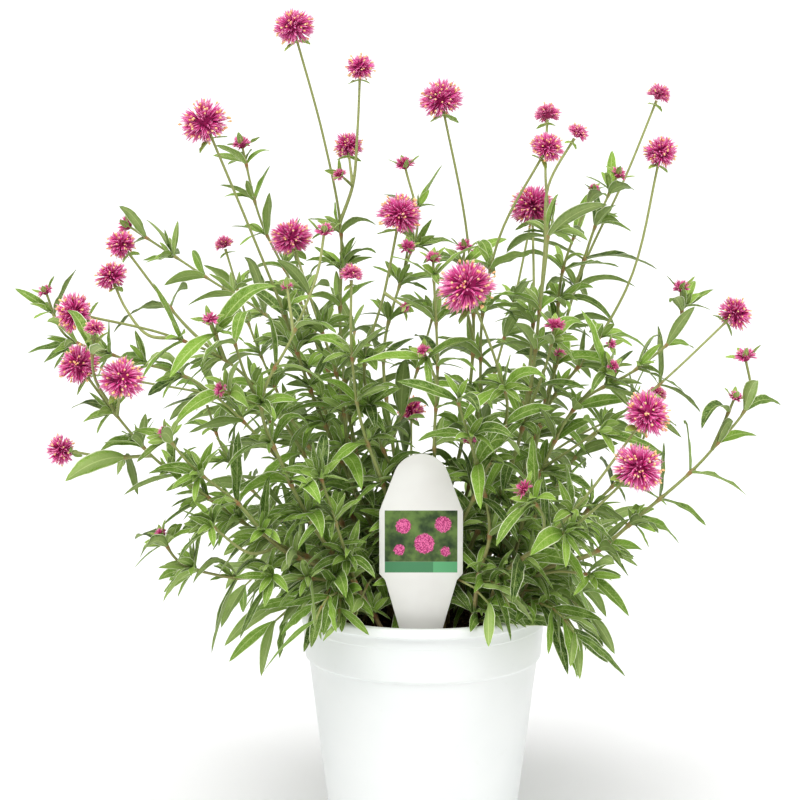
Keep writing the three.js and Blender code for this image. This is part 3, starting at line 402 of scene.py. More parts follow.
def take(a, b, r, owner, kind, site=-1):
    """Adds capsules to those that later growth keeps clear of."""
    low = taken["count"]
    high = low + len(a)
    taken["a"][low:high], taken["b"][low:high], taken["r"][low:high] = a, b, r
    taken["owner"][low:high], taken["kind"][low:high], taken["site"][low:high] = owner, kind, site
    taken["middle"][low:high] = (a + b) / 2
    taken["around"][low:high] = np.sqrt(((b - a) ** 2).sum(1)) / 2 + r
    taken["count"] = high


def clear_of_others(a, b, r, owner, own_kinds, margin, site=-2, leaf_share=1.0):
    """For each capsule (a, b, r), whether it is clear of all taken ones by the margin.

    The distance is between the nearest points of the two middle lines. Of its own stem's capsules,
    a capsule keeps clear of those whose kind is in its row of own_kinds, but of none at its own site.
    Only the capsules whose own ball around them meets the ball around the new ones are measured.
    The blades already there count with leaf_share of their radius.
    """
    n = taken["count"]
    centre = (a.mean(0) + b.mean(0)) / 2
    farthest = max(((a - centre) ** 2).sum(1).max(), ((b - centre) ** 2).sum(1).max())
    around = np.sqrt(farthest) + r.max() + margin
    near = np.nonzero(((taken["middle"][:n] - centre) ** 2).sum(1) < (taken["around"][:n] + around) ** 2)[0]
    if not len(near):
        return np.ones(len(a), bool)
    start, finish = taken["a"][near], taken["b"][near]
    thick = taken["r"][near] * np.where(taken["kind"][near] == LEAF, leaf_share, 1.0)
    p1, d1 = a[:, None], (b - a)[:, None]
    d2 = (finish - start)[None]
    away = p1 - start[None]
    aa = (d1 * d1).sum(-1) + 1e-9
    ee = (d2 * d2).sum(-1) + 1e-9
    bb = (d1 * d2).sum(-1)
    cc = (d1 * away).sum(-1)
    ff = (d2 * away).sum(-1)
    s = np.clip((bb * ff - cc * ee) / (aa * ee - bb * bb + 1e-9), 0, 1)
    t = np.clip((bb * s + ff) / ee, 0, 1)
    s = np.clip((bb * t - cc) / aa, 0, 1)
    gap = away + d1 * s[..., None] - d2 * t[..., None]
    need = r[:, None] + thick[None] + margin
    meets = (gap * gap).sum(-1) < need * need
    same = taken["owner"][near] == owner
    watched = own_kinds[:, taken["kind"][near]] & (taken["site"][near] != site)
    return ~(meets & (~same | watched)).any(1)


def points_of(a, b):
    """Five even points along the middle line of each capsule."""
    t = np.linspace(0, 1, 5)[:, None, None]
    return a * (1 - t) + b * t


def clear_of_pot(a, b, r):
    """For each capsule, whether it is clear of the pot's wall and lip, the soil and the label's front."""
    p = points_of(a, b)
    r = r + POT_MARGIN
    from_axis = np.sqrt(p[..., 0] ** 2 + p[..., 1] ** 2)
    in_soil = (p[..., 2] < SOIL_TOP + SOIL_MARGIN) & (from_axis < COLLAR_FOOT_RADIUS)
    in_wall = ((from_axis > COLLAR_FOOT_RADIUS - POT_WALL - r) & (from_axis < LIP_RADIUS + r)
               & (p[..., 2] < POT_HEIGHT + r))
    before = np.maximum(0, LABEL_Y - p[..., 1])
    in_label = ((np.abs(p[..., 0] - LABEL_CENTRE_X) - LABEL_WIDTH / 2 < r)
                & (p[..., 1] - LABEL_Y < r + POT_MARGIN)
                & (p[..., 2] < LABEL_TOP + LABEL_VIEW_SLOPE * before + r))
    return ~(in_soil | in_wall | in_label).any(0)


def clear_of_front(a, b):
    """For each capsule, whether it stays above the lip in front of the pot, and hangs deeper only beside."""
    p = points_of(a, b)
    beside = np.clip((np.abs(p[..., 0]) - BESIDE_FROM) / BESIDE_OVER, 0, 1)
    lowest = POT_HEIGHT - HANG_IN_FRONT - HANG_BESIDE * beside
    return ~((p[..., 1] < FRONT_TO_Y) & (p[..., 2] < lowest)).any(0)


def kinds(*names):
    """A row that marks the given kinds of capsule."""
    row = np.zeros(LEAF + 1, bool)
    row[list(names)] = True
    return row


# ---- growth: shoots ----

# How far a shoot's crosswise direction is turned from one stem and from one shoot to the next
STEM_TURN = 0.7
SHOOT_TURN = 1.3

# Ways to bend a shoot in depth: how far its tip swings and how far its middle bows
BENDS = [(0, 0)]
for amount in (4, 8, 12, 17, 22, 28, 34):
    BENDS += [(amount, 0), (-amount, 0), (0, amount), (0, -amount), (amount, -amount), (-amount, amount)]


def lay_shoot(stem_number, foot, shoots, row):
    """Lays one shoot along its path, bent in depth until it and its head are clear of the other stems.

    At t of the way up, its depth is the table's plus the swing times t and the bow times the sine of pi t.
    Its first capsules, at the joint, may meet a head of its own stem.
    """
    parent, tip, size, bare, seen = row
    for swing, bow in BENDS:
        points = []
        for i, (x, z, depth) in enumerate(seen):
            t = (i + 1) / len(seen)
            points.append(real_place(x, z, depth + swing * t + bow * math.sin(math.pi * t)))
        if parent:
            start = shoots[parent[0]]["points"][parent[1]]
        else:
            start = np.array([foot[0], foot[1], SOIL_TOP + FOOT_RISE], float)
        whole = smooth_path(np.array([start] + points))
        if not parent:
            whole = np.vstack([[foot[0], foot[1], SOIL_TOP - FOOT_DEPTH], whole])
        along = lengths_along(whole)
        path = whole
        is_head = tip in ("head", "young")
        if is_head:
            end = along[-1] - size * HEAD_CORE * HEAD_SQUASH - CLEARANCE
            kept = int((along < end - SHORTEST_STEP).sum())
            t = (end - along[kept - 1]) / (along[kept] - along[kept - 1])
            path = np.vstack([whole[:kept], whole[kept - 1] * (1 - t) + whole[kept] * t])
        above = np.nonzero(path[1:, 2] > SOIL_TOP)[0] + 1
        a, b = path[above - 1], path[above]
        kind = np.where(above >= len(path) - STALK_CAPSULES, STALK, STEM)
        r = np.full(len(above), SIDE_SHOOT_RADIUS if parent else MAIN_STEM_RADIUS)
        own = np.where(np.arange(len(above))[:, None] >= JOINT_CAPSULES, kinds(HEAD), kinds())
        clear = (clear_of_others(a, b, r, stem_number, own, STEM_MARGIN).all()
                 and (clear_of_pot(a, b, r) | (a[:, 2] < SOIL_TOP + STEM_FREE_HEIGHT)).all())
        middle = points[-1][None]
        ball = np.array([float(size)])
        if is_head or tip == "bud":
            own = kinds(HEAD, STEM, STALK) if is_head else kinds(HEAD)
            clear = (clear and clear_of_pot(middle, middle, ball).all()
                     and clear_of_others(middle, middle, ball, stem_number, own[None], STEM_MARGIN).all())
        if clear:
            take(a, b, r, stem_number, kind)
            if is_head or tip == "bud":
                take(middle, middle, ball, stem_number, HEAD if is_head else BUD)
            turn = stem_number * STEM_TURN + len(shoots) * SHOOT_TURN if parent else 0
            along = lengths_along(path)
            return {"points": points, "path": path, "along": along, "length": along[-1],
                    "crosswise": crosswise_along(path, turn), "middle": points[-1], "tip": tip,
                    "size": size, "bare": bare, "is_head": is_head, "main": parent is None,
                    "leaves": [], "nodes": [], "twigs": []}
    raise RuntimeError(f"no clear way for a shoot of stem {stem_number}")


# ---- growth: leaves ----

def grow_leaf(place, azimuth, length, width, angle, droop, roll):
    """The midrib of a leaf as rows of (point, direction, across, up), with the blade's half width.

    Its direction starts at an angle from the stem's and turns down in proportion to the way along it.
    The half width is a sine of the way along to the power 0.85, to the power 0.75.
    """
    point, stem_direction, stem_across, stem_other = place
    out = stem_across * math.cos(azimuth) + stem_other * math.sin(azimuth)
    start = stem_direction * math.cos(angle) + out * math.sin(angle)
    side = np.cross(stem_direction, out)
    u = np.arange(LEAF_STEPS + 1)[:, None] / LEAF_STEPS
    direction = unit(start - droop * u * UP)
    step = unit(start - droop * (u + 0.5 / LEAF_STEPS) * UP) * (length / LEAF_STEPS)
    points = point + np.vstack([np.zeros(3), np.cumsum(step[:-1], axis=0)])
    across = unit(side - direction * (direction @ side)[:, None])
    face = np.cross(direction, across)
    across = across * np.cos(roll * u) + face * np.sin(roll * u)
    up = np.cross(direction, across)
    half = np.maximum(0.5 * width * np.sin(np.pi * u[:, 0] ** 0.85) ** 0.75,
                      0.5 * LEAF_ROOT_WIDTH * (1 - u[:, 0]))
    return {"point": points, "across": across, "up": up, "half": half, "length": length}


def leaf_capsules(leaf, slim=LEAF_COVER):
    """A leaf's blade as three capsules between its stations, slim times as thick as it is wide."""
    at = np.array(LEAF_STATIONS)
    half = leaf["half"][at]
    return leaf["point"][at[:-1]], leaf["point"][at[1:]], np.maximum(half[:-1], half[1:]) * slim


# What the three capsules of a leaf keep clear of on its own stem
EVERY_KIND = kinds(HEAD, LEAF, BUD, STEM, STALK)
LEAF_OWN = np.array([kinds(HEAD, LEAF), EVERY_KIND, EVERY_KIND])


def hang_leaf(place, site, owner, stream):
    """Tries ways to hang a leaf until it is clear of everything else; None if none is.

    A way is the site's own, changed a little at random, and by more and smaller with each try.
    """
    for attempt in range(site.get("tries", LEAF_TRIES)):
        loose = attempt / LEAF_TRIES
        azimuth = site["azimuth"] + (next(stream) - 0.5) * (0.5 + 1.1 * loose)
        length = site["length"] * (0.86 + 0.28 * next(stream)) * (1 - 0.35 * loose)
        width = site["width"] * (0.88 + 0.24 * next(stream)) * (1 - 0.25 * loose)
        angle = site["angle"] * (0.85 + 0.3 * next(stream)) + (next(stream) - 0.5) * 0.7 * loose
        droop = site["droop"] * (0.3 + 1.4 * next(stream))
        roll = (next(stream) - 0.5) * 1.5
        leaf = grow_leaf(place, azimuth, length, width, angle, droop, roll)
        a, b, r = leaf_capsules(leaf, site.get("slim", LEAF_COVER))
        if site.get("low") and not clear_of_front(a, b).all():
            continue
        if clear_of_pot(a, b, r).all() and clear_of_others(
                a, b, r, owner, LEAF_OWN, site.get("margin", LEAF_MARGIN), site["name"],
                site.get("leaf_share", 1.0)).all():
            take(a, b, r, owner, LEAF, site["name"])
            return leaf
    return None


def pair_distances(shoot):
    """How far along a shoot its leaf pairs stand: evenly, from above its foot to its bare end."""
    first = FOOT_DEPTH + FOOT_RISE + FIRST_PAIR_RISE if shoot["main"] else FIRST_PAIR_ON_SIDE_SHOOT
    last = shoot["length"] - max(shoot["bare"], NODE_HALF_HEIGHT + LAST_PAIR_SPACE)
    pairs = max(0, math.floor((last - first) / LEAF_PITCH + 1))
    if pairs < 2:
        return [last] * pairs
    return [first + (last - first) / (pairs - 1) * pair for pair in range(pairs)]


def growth_stream(stem_number, shoot_number, number):
    """The random numbers of one place of growth on a shoot."""
    return random_stream(stem_number * 1000 + shoot_number * 100 + number)


def site_name(stem_number, shoot_number, number):
    """The name of one place of growth on a shoot, whose leaves need not keep clear of each other."""
    return stem_number * 10000 + shoot_number * 100 + number


def age_at(shoot, distance):
    """How old a shoot is at a distance along it, from 1 at its foot to nearly 0 at its tip."""
    return 1 - distance / (shoot["length"] + YOUNG_LENGTH)


def opposite_turns(number):
    """The turns round a stem of two opposite leaves, of which an odd pair is square to an even one."""
    return [(side + 0.5) * (math.pi / 2) for side in (number % 2, number % 2 + 2)]


BRACT_TRIES = 6

# A leaf's measures are its least ones plus these gains times the age of its place
LARGE_PAIRS = {"length": (0.62, 0.5), "width": (0.72, 0.38), "angle": (0.65, 0.55), "droop": (0.55, 0.95)}
MIDDLE_PAIRS = {"length": (0.6, 0.42), "width": (0.6, 0.34), "angle": (0.6, 0.5), "droop": (0.5, 0.9)}
MIDDLE_RULE = {"slim": 0.4, "margin": 0.1, "leaf_share": 0.3, "tries": 8}
LEAF_UNITS = {"length": LEAF_LENGTH, "width": LEAF_WIDTH, "angle": 1, "droop": 1}


def grow_pairs(stem_number, shoot_number, shoot, distances, series, quarter, measures, rule):
    """Leaf pairs at distances along a shoot, each square to the one before it, smaller towards the tip."""
    for pair, distance in enumerate(distances):
        stream = growth_stream(stem_number, shoot_number, series + pair)
        place = point_at(shoot, distance)
        age = age_at(shoot, distance)
        shoot["nodes"].append(distance)
        form = {key: LEAF_UNITS[key] * (least + gain * age) for key, (least, gain) in measures.items()}
        for turn in opposite_turns(pair + stem_number + quarter):
            name = site_name(stem_number, shoot_number, series + pair)
            leaf = hang_leaf(place, {"name": name, "azimuth": turn, **form, **rule}, stem_number, stream)
            if leaf:
                shoot["leaves"].append(leaf)


def grow_leaves(stem_number, shoot_number, shoot):
    """The leaf pairs of one shoot that its solid has too."""
    grow_pairs(stem_number, shoot_number, shoot, pair_distances(shoot), 0, 0, LARGE_PAIRS, {})


def grow_middle_leaves(stem_number, shoot_number, shoot):
    """A further pair of leaves, a quarter turned, between each two pairs of the shoot."""
    distances = pair_distances(shoot)
    between = [(low + high) / 2 for low, high in zip(distances, distances[1:])]
    grow_pairs(stem_number, shoot_number, shoot, between, MIDDLE_SERIES, 1, MIDDLE_PAIRS, MIDDLE_RULE)


def grow_bracts(stem_number, shoot_number, shoot):
    """Two small leaves spread just under a head."""
    stream = growth_stream(stem_number, shoot_number, BRACT_STREAM)
    place = point_at(shoot, shoot["length"] - 2 * NODE_HALF_HEIGHT)
    own = np.array([kinds(LEAF)] * 3)
    name = site_name(stem_number, shoot_number, BRACT_SITE)
    for turn in opposite_turns(shoot_number):
        for attempt in range(BRACT_TRIES):
            azimuth = turn + (next(stream) - 0.5) * 0.3 * (1 + attempt)
            length = shoot["size"] * (0.62 + 0.2 * next(stream)) + 2
            angle = 1.75 + 0.25 * next(stream)
            droop = 0.35 * next(stream)
            leaf = grow_leaf(place, azimuth, length, shoot["size"] * 0.3 + 1.4, angle, droop, 0)
            a, b, r = leaf_capsules(leaf)
            if (clear_of_pot(a, b, r).all()
                    and clear_of_others(a, b, r, stem_number, own, LEAF_MARGIN, name).all()):
                take(a, b, r, stem_number, LEAF, name)
                shoot["leaves"].append(leaf)
                break


LOW_SIDES_X, LOW_SIDES_Z = 60, 240
CROWN_Z = 330


def twig_share(point):
    """The share of axils with a twig: higher low at both sides, on the left and at the centre top."""
    x, _, z = point
    if z < LOW_SIDES_Z and abs(x) > LOW_SIDES_X:
        return AXIL_SHARE + 0.4
    if z < CROWN_Z:
        return AXIL_SHARE - 0.0011 * x
    middle = min(1.0, max(0.0, 1.6 - abs(x) / 80))
    return AXIL_SHARE + 0.0035 * (z - CROWN_Z) * middle - 0.15 * (1 - middle)


# The leaves of an axil's twig: how far out a pair springs, how it is turned, and its size
TWIG_PAIRS = ((0.55, 0.0, 0.5), (1.0, 1.57, 0.46), (1.0, 0.0, 0.32))
TWIG_RULE = {"slim": 0.3, "margin": 0.0, "leaf_share": 0.25, "tries": 3}
TWIG_FOOT = 2.5


def grow_axillary_shoots(stem_number, shoot_number, shoot):
    """Short twigs out of the leaf axils, each with a pair of small leaves on its way and two at its end."""
    own = EVERY_KIND[None]
    thin = np.array([TWIG_RADIUS])
    for number, distance in enumerate(sorted(shoot["nodes"])):
        stream = growth_stream(stem_number, shoot_number, AXIL_SERIES + number)
        point, direction, across, other = point_at(shoot, min(distance + 1, shoot["length"] - 0.2))
        age = age_at(shoot, distance)
        name = site_name(stem_number, shoot_number, AXIL_SERIES + number)
        for side in range(4):
            if next(stream) > twig_share(point):
                continue
            azimuth = (side + 0.5) * (math.pi / 2) + (next(stream) - 0.5) * 0.9
            out = across * math.cos(azimuth) + other * math.sin(azimuth)
            lean = 0.5 + 0.45 * next(stream)
            way = unit(direction * math.cos(lean) + out * math.sin(lean) + UP * 0.15)
            length = (5 + 17 * next(stream)) * (0.55 + 0.6 * age)
            start, end = point + way * TWIG_FOOT, point + way * length
            if (clear_of_others(start[None], end[None], thin, stem_number, own, TWIG_MARGIN,
                                leaf_share=TWIG_LEAF_SHARE)[0]
                    and clear_of_pot(point[None], end[None], thin)[0]):
                take(start[None], end[None], thin, stem_number, STEM, name)
            else:
                end = start
            shoot["twigs"].append((point, end))
            first = unit(np.cross(way, out + UP * 0.01))
            for share, turn, size in TWIG_PAIRS:
                place = (point * (1 - share) + end * share, way, first, np.cross(way, first))
                for half in (0.0, math.pi):
                    leaf = hang_leaf(place, {
                        "name": name, "azimuth": turn + half, "droop": 0.3 + 0.7 * age,
                        "length": LEAF_LENGTH * size * (0.8 + 0.4 * age),
                        "width": LEAF_WIDTH * (0.26 + 0.52 * size),
                        "angle": 0.75 if size > 0.4 else 0.4, **TWIG_RULE}, stem_number, stream)
                    if leaf:
                        shoot["leaves"].append(leaf)


LOW_LEAF = {"width": LEAF_WIDTH * 0.78, "angle": 0.8, "droop": 0.9, "slim": 0.35, "margin": 0.0,
            "leaf_share": 0.3, "tries": 7, "low": True}


def grow_low_twigs(stem_number, shoot):
    """Weak twigs from low on a stem, which lean outwards and arch over as a midrib does, with leaf pairs.

    A twig ends where it would meet the pot, the label or another stem.
    """
    side = "left" if shoot["path"][0][0] < 0 else "right"
    for number in range(LOW_TWIGS[side]):
        stream = growth_stream(stem_number, 0, LOW_TWIG_STREAM + number)
        name = site_name(stem_number, 0, LOW_TWIG_SITE + number)
        point = point_at(shoot, FOOT_DEPTH + FOOT_RISE + LOW_TWIG_RISE + LOW_TWIG_ZONE * next(stream))[0]
        outward = math.atan2(point[1], point[0]) + (next(stream) - 0.5) * 2.4
        out = np.array([math.cos(outward), math.sin(outward), 0.0])
        length = LOW_TWIG_LENGTH[side] + LOW_TWIG_GAIN * next(stream)
        midrib = grow_leaf((point, UP, out, np.cross(UP, out)), 0.0, length, 2.0,
                           0.55 + 0.55 * next(stream), 0.9 + 0.9 * next(stream), 0)["point"]
        knots = midrib[::LOW_TWIG_STEP]
        a, b, r = knots[:-1], knots[1:], np.full(len(knots) - 1, TWIG_RADIUS)
        own = np.tile(kinds(HEAD, BUD), (len(a), 1))
        free = (clear_of_pot(a, b, r) & clear_of_front(a, b)
                & clear_of_others(a, b, r, stem_number, own, TWIG_MARGIN, name, TWIG_LEAF_SHARE))
        reach = len(free) if free.all() else int(np.argmin(free))
        if not reach:
            continue
        take(a[:reach], b[:reach], r[:reach], stem_number, STEM, name)
        shoot["twigs"] += list(zip(a[:reach], b[:reach]))
        for k in range(reach):
            way = unit(b[k] - a[k])
            first = unit(np.cross(way, UP))
            place = (b[k], way, first, np.cross(way, first))
            for half in (0.0, math.pi):
                leaf = hang_leaf(place, {
                    "name": name, "azimuth": half + (k % 2) * math.pi / 2,
                    "length": LEAF_LENGTH * (0.5 + 0.45 * next(stream)), **LOW_LEAF}, stem_number, stream)
                if leaf:
                    shoot["leaves"].append(leaf)


stems = []
for stem_number, (foot, rows) in enumerate(STEMS):
    laid = []
    for row in rows:
        laid.append(lay_shoot(stem_number, foot, laid, row))
    stems.append(laid)
every_shoot = [(i, j, shoot) for i, shoots in enumerate(stems) for j, shoot in enumerate(shoots)]
for i, j, shoot in every_shoot:
    if shoot["is_head"]:
        grow_bracts(i, j, shoot)
for i, j, shoot in every_shoot:
    grow_leaves(i, j, shoot)
for i, j, shoot in every_shoot:
    if shoot["main"]:
        grow_low_twigs(i, shoot)
for i, j, shoot in every_shoot:
    grow_middle_leaves(i, j, shoot)
for i, j, shoot in every_shoot:
    grow_axillary_shoots(i, j, shoot)


# ---- meshes ----

def ring_quads(bodies, rows, columns):
    """The quads that join neighbouring rings of each body, as point numbers."""
    body, row, column = np.meshgrid(np.arange(bodies), np.arange(rows - 1), np.arange(columns), indexing="ij")
    first = (body * rows + row) * columns
    after = (column + 1) % columns
    quads = np.stack([first + column, first + after, first + columns + after, first + columns + column], -1)
    return quads.reshape(-1, 4)


def skin(rings, start, end):
    """Bodies through rows of rings: rings is (bodies, rows, columns, 3), closed to a point at each end.

    Neighbouring rings are joined by quads, and the first and last by fans to start and end, (bodies, 3).
    """
    bodies, rows, columns = rings.shape[:3]
    ring = bodies * rows * columns
    body, column = np.meshgrid(np.arange(bodies), np.arange(columns), indexing="ij")
    after = (column + 1) % columns
    low = body * rows * columns
    high = low + (rows - 1) * columns
    fans = np.concatenate([
        np.stack([ring + body, low + after, low + column], -1).reshape(-1, 3),
        np.stack([ring + bodies + body, high + column, high + after], -1).reshape(-1, 3)])
    points = np.concatenate([rings.reshape(-1, 3), start, end])
    return points, ring_quads(bodies, rows, columns), fans


def spread(values, start, end):
    """Values on the rings, (bodies, rows, columns, n), in the order of the points, then one for each end."""
    return np.concatenate([values.reshape(-1, values.shape[-1]), start, end])


def patterned(rings, start, end, material, uv, tint):
    """A part of closed bodies, whose ends take the uv and the tint of their first and last rings."""
    points, quads, fans = skin(rings, start, end)
    return (points, quads, fans, material, spread(uv, uv[:, 0, 0], uv[:, -1, 0]),
            spread(tint, tint[:, 0, 0], tint[:, -1, 0]))


def plain(points, quads, fans):
    """A part of the first material, without uv or tint."""
    return points, quads, fans, 0, np.zeros((len(points), 2)), np.zeros((len(points), 3))


def make_mesh(name, parts, materials):
    """One mesh from parts of (points in mm, quads, triangles, material number, uv, tint)."""
    totals, loops, numbers = [], [], []
    points, uvs, tints = [], [], []
    offset = 0
    for part_points, quads, triangles, number, uv, tint in parts:
        for faces in (quads, triangles):
            if len(faces):
                loops.append((faces + offset).ravel())
                totals.append(np.full(len(faces), faces.shape[1]))
                numbers.append(np.full(len(faces), number))
        points.append(part_points)
        uvs.append(uv)
        tints.append(tint)
        offset += len(part_points)
    points = np.concatenate(points) * 0.001
    loops = np.concatenate(loops)
    totals = np.concatenate(totals)
    starts = np.concatenate([[0], np.cumsum(totals)[:-1]])
    mesh = bpy.data.meshes.new(name)
    mesh.vertices.add(len(points))
    mesh.vertices.foreach_set("co", points.ravel().astype(np.float32))
    mesh.loops.add(len(loops))
    mesh.loops.foreach_set("vertex_index", loops.astype(np.int32))
    mesh.polygons.add(len(totals))
    mesh.polygons.foreach_set("loop_start", starts.astype(np.int32))
    mesh.polygons.foreach_set("loop_total", totals.astype(np.int32))
    mesh.polygons.foreach_set("material_index", np.concatenate(numbers).astype(np.int32))
    mesh.polygons.foreach_set("use_smooth", np.ones(len(totals), bool))
    mesh.update(calc_edges=True)
    layer = mesh.uv_layers.new(name="UVMap")
    layer.data.foreach_set("uv", np.concatenate(uvs)[loops].ravel().astype(np.float32))
    attribute = mesh.attributes.new("tint", "FLOAT_COLOR", "POINT")
    tint = np.concatenate(tints)
    tint = np.column_stack([tint, np.ones(len(tint))])
    attribute.data.foreach_set("color", tint.ravel().astype(np.float32))
    mesh.validate()
    for material in materials:
        mesh.materials.append(material)
    piece = bpy.data.objects.new(name, mesh)
    bpy.context.scene.collection.objects.link(piece)
    return piece


def finish_piece(piece, slot, *nodes):
    """The piece rides on the one body, and the solids of its nodes are hidden; slot is not used."""
    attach(piece, "root")
    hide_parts(*nodes)


# ---- materials ----

def srgb(red, green, blue):
    """A colour given in screen values from 0 to 255, as linear light."""
    out = []
    for value in (red, green, blue):
        v = value / 255
        out.append(v / 12.92 if v <= 0.04045 else ((v + 0.055) / 1.055) ** 2.4)
    return (*out, 1.0)


class Finish:
    """A node material under construction, with short calls for the nodes that it uses."""

    def __init__(self, name, roughness, plain):
        self.material = bpy.data.materials.new(name)
        self.material.use_nodes = True
        self.material.diffuse_color = plain
        self.tree = self.material.node_tree
        self.shader = self.tree.nodes["Principled BSDF"]
        self.set("Roughness", roughness)

    def set(self, name, value):
        """Gives one of the shader's inputs a plain value."""
        self.shader.inputs[name].default_value = value

    def node(self, kind, **settings):
        """A new node with its settings."""
        node = self.tree.nodes.new(kind)
        for key, value in settings.items():
            setattr(node, key, value)
        return node

    def join(self, value, socket):
        """Puts a number, a colour or another node's output into a socket."""
        if hasattr(value, "is_linked"):
            self.tree.links.new(value, socket)
        else:
            socket.default_value = value

    def math(self, operation, a, b=0.0, c=0.0):
        """One step of arithmetic."""
        node = self.node("ShaderNodeMath", operation=operation)
        for value, socket in zip((a, b, c), node.inputs):
            self.join(value, socket)
        return node.outputs[0]

    def ramp(self, value, low, high):
        """0 below low and 1 above high, eased between them."""
        node = self.node("ShaderNodeMapRange", interpolation_type="SMOOTHSTEP")
        self.join(value, node.inputs["Value"])
        node.inputs["From Min"].default_value = low
        node.inputs["From Max"].default_value = high
        return node.outputs["Result"]

    def mix(self, share, first, second):
        """The first colour where share is 0, the second where it is 1."""
        node = self.node("ShaderNodeMix", data_type="RGBA")
        self.join(share, node.inputs["Factor"])
        self.join(first, node.inputs[6])
        self.join(second, node.inputs[7])
        return node.outputs[2]

    def lay(self, over, share, amount, colour):
        """A colour laid over another by share times amount."""
        return self.mix(self.math("MULTIPLY", share, amount), over, colour)

    def noise(self, scale, detail):
        """Soft noise from 0 to 1, with scale as its waves to the metre."""
        node = self.node("ShaderNodeTexNoise")
        node.inputs["Scale"].default_value = scale
        node.inputs["Detail"].default_value = detail
        self.join(self.place(), node.inputs["Vector"])
        return node.outputs["Fac"]

    def patches(self, scale, detail, low, high):
        """Cloudy patches: noise below low is 0 and above high is 1."""
        return self.ramp(self.noise(scale, detail), low, high)

    def place(self):
        """The point on the piece, in metres."""
        return self.node("ShaderNodeTexCoord").outputs["Object"]

    def parts(self, vector):
        """The three parts of a vector."""
        node = self.node("ShaderNodeSeparateXYZ")
        self.join(vector, node.inputs[0])
        return node.outputs

    def tint(self):
        """The three numbers that a piece's mesh gives each point."""
        node = self.node("ShaderNodeAttribute", attribute_name="tint")
        split = self.node("ShaderNodeSeparateColor")
        self.tree.links.new(node.outputs["Color"], split.inputs[0])
        return split.outputs

    def bump(self, height, strength, distance):
        """Raises the surface by height times distance, in metres."""
        node = self.node("ShaderNodeBump")
        node.inputs["Strength"].default_value = strength
        node.inputs["Distance"].default_value = distance
        self.join(height, node.inputs["Height"])
        self.join(node.outputs["Normal"], self.shader.inputs["Normal"])

    def colour(self, value):
        """The finish's own colour."""
        self.join(value, self.shader.inputs["Base Color"])


# A full turn in radians, and the eight of them that make as many streaks round a stem
FULL_TURN = 6.2832
STREAKS_TURN = 50.27


def leaf_finish():
    """Green leaf: a mottled blade with pale hairy margins, a pale midrib and slanting side veins."""
    f = Finish("Leaf", 0.55, (0.2, 0.26, 0.09, 1))
    f.set("Sheen Weight", 0.03)
    f.set("Sheen Roughness", 0.4)
    f.set("Specular IOR Level", 0.25)
    tone, under, young = f.tint()[0], f.tint()[1], f.tint()[2]
    u, v, _ = f.parts(f.node("ShaderNodeUVMap", uv_map="UVMap").outputs[0])
    off = f.math("ABSOLUTE", f.math("MULTIPLY_ADD", u, 2.0, -1.0))
    green = f.mix(tone, srgb(41, 72, 14), srgb(131, 169, 60))
    green = f.lay(green, young, 0.7, srgb(176, 205, 100))
    green = f.lay(green, f.patches(260, 4, 0.3, 0.7), 0.3, srgb(171, 197, 106))
    green = f.lay(green, f.patches(1300, 2, 0.56, 0.7), 0.28, srgb(229, 240, 186))
    slant = f.math("SUBTRACT", f.math("MULTIPLY", v, 13.0), f.math("MULTIPLY", off, 2.0))
    vein = f.ramp(f.math("SINE", f.math("MULTIPLY", slant, FULL_TURN)), 0.75, 1.0)
    green = f.lay(green, vein, 0.15, srgb(214, 229, 164))
    green = f.lay(green, under, 0.6, srgb(177, 194, 132))
    rib = f.math("SUBTRACT", 1.0, f.ramp(off, 0.02, 0.1))
    green = f.lay(green, rib, 0.45, srgb(222, 235, 168))
    margin = f.ramp(off, 0.84, 0.96)
    f.colour(f.lay(green, margin, 0.78, srgb(250, 252, 228)))
    height = f.math("SUBTRACT", f.math("MULTIPLY", f.noise(900, 2), 0.5), f.math("MULTIPLY", vein, 0.35))
    f.bump(height, 0.35, 0.0004)
    return f.material


def stem_finish():
    """Stem: olive green with fine lengthwise streaks, reddish at the nodes and tan near the soil."""
    f = Finish("Stem", 0.6, (0.28, 0.27, 0.14, 1))
    f.set("Sheen Weight", 0.3)
    f.set("Sheen Roughness", 0.4)
    red, low, tone = f.tint()[0], f.tint()[1], f.tint()[2]
    u = f.parts(f.node("ShaderNodeUVMap", uv_map="UVMap").outputs[0])[0]
    green = f.mix(tone, srgb(121, 132, 67), srgb(181, 188, 123))
    green = f.mix(low, green, srgb(186, 171, 127))
    streak = f.math("SINE", f.math("MULTIPLY", u, STREAKS_TURN))
    green = f.lay(green, f.ramp(streak, 0.0, 1.0), 0.2, srgb(221, 225, 173))
    green = f.lay(green, f.patches(500, 3, 0.4, 0.7), 0.25, srgb(112, 112, 63))
    f.colour(f.lay(green, red, 0.75, srgb(162, 91, 63)))
    f.bump(f.math("ADD", f.math("MULTIPLY", streak, 0.3), f.noise(1400, 2)), 0.35, 0.0003)
    return f.material


def floret_finish(name, mid, tip, shade):
    """Florets: painted shade where they spring deep in the head, magenta along their length, pale at the
    tips; cream stamens.
    """
    f = Finish(name, 0.55, mid)
    f.set("Specular IOR Level", 0.3)
    reach, tone, stamen = f.tint()[0], f.tint()[1], f.tint()[2]
    # Painted shade: the colour darkens towards the florets' roots, deep inside the head
    pink = f.mix(f.ramp(reach, 0.3, 0.72), shade, mid)
    pink = f.mix(f.ramp(reach, 0.72, 1.0), pink, tip)
    pink = f.lay(pink, tone, 0.35, tip)
    # Random darker mottle, in the same colour as the painted shade
    pink = f.lay(pink, f.patches(900, 3, 0.45, 0.7), 0.25, shade)
    cream = f.mix(tone, srgb(254, 194, 142), srgb(255, 229, 172))
    f.colour(f.mix(stamen, pink, cream))
    return f.material


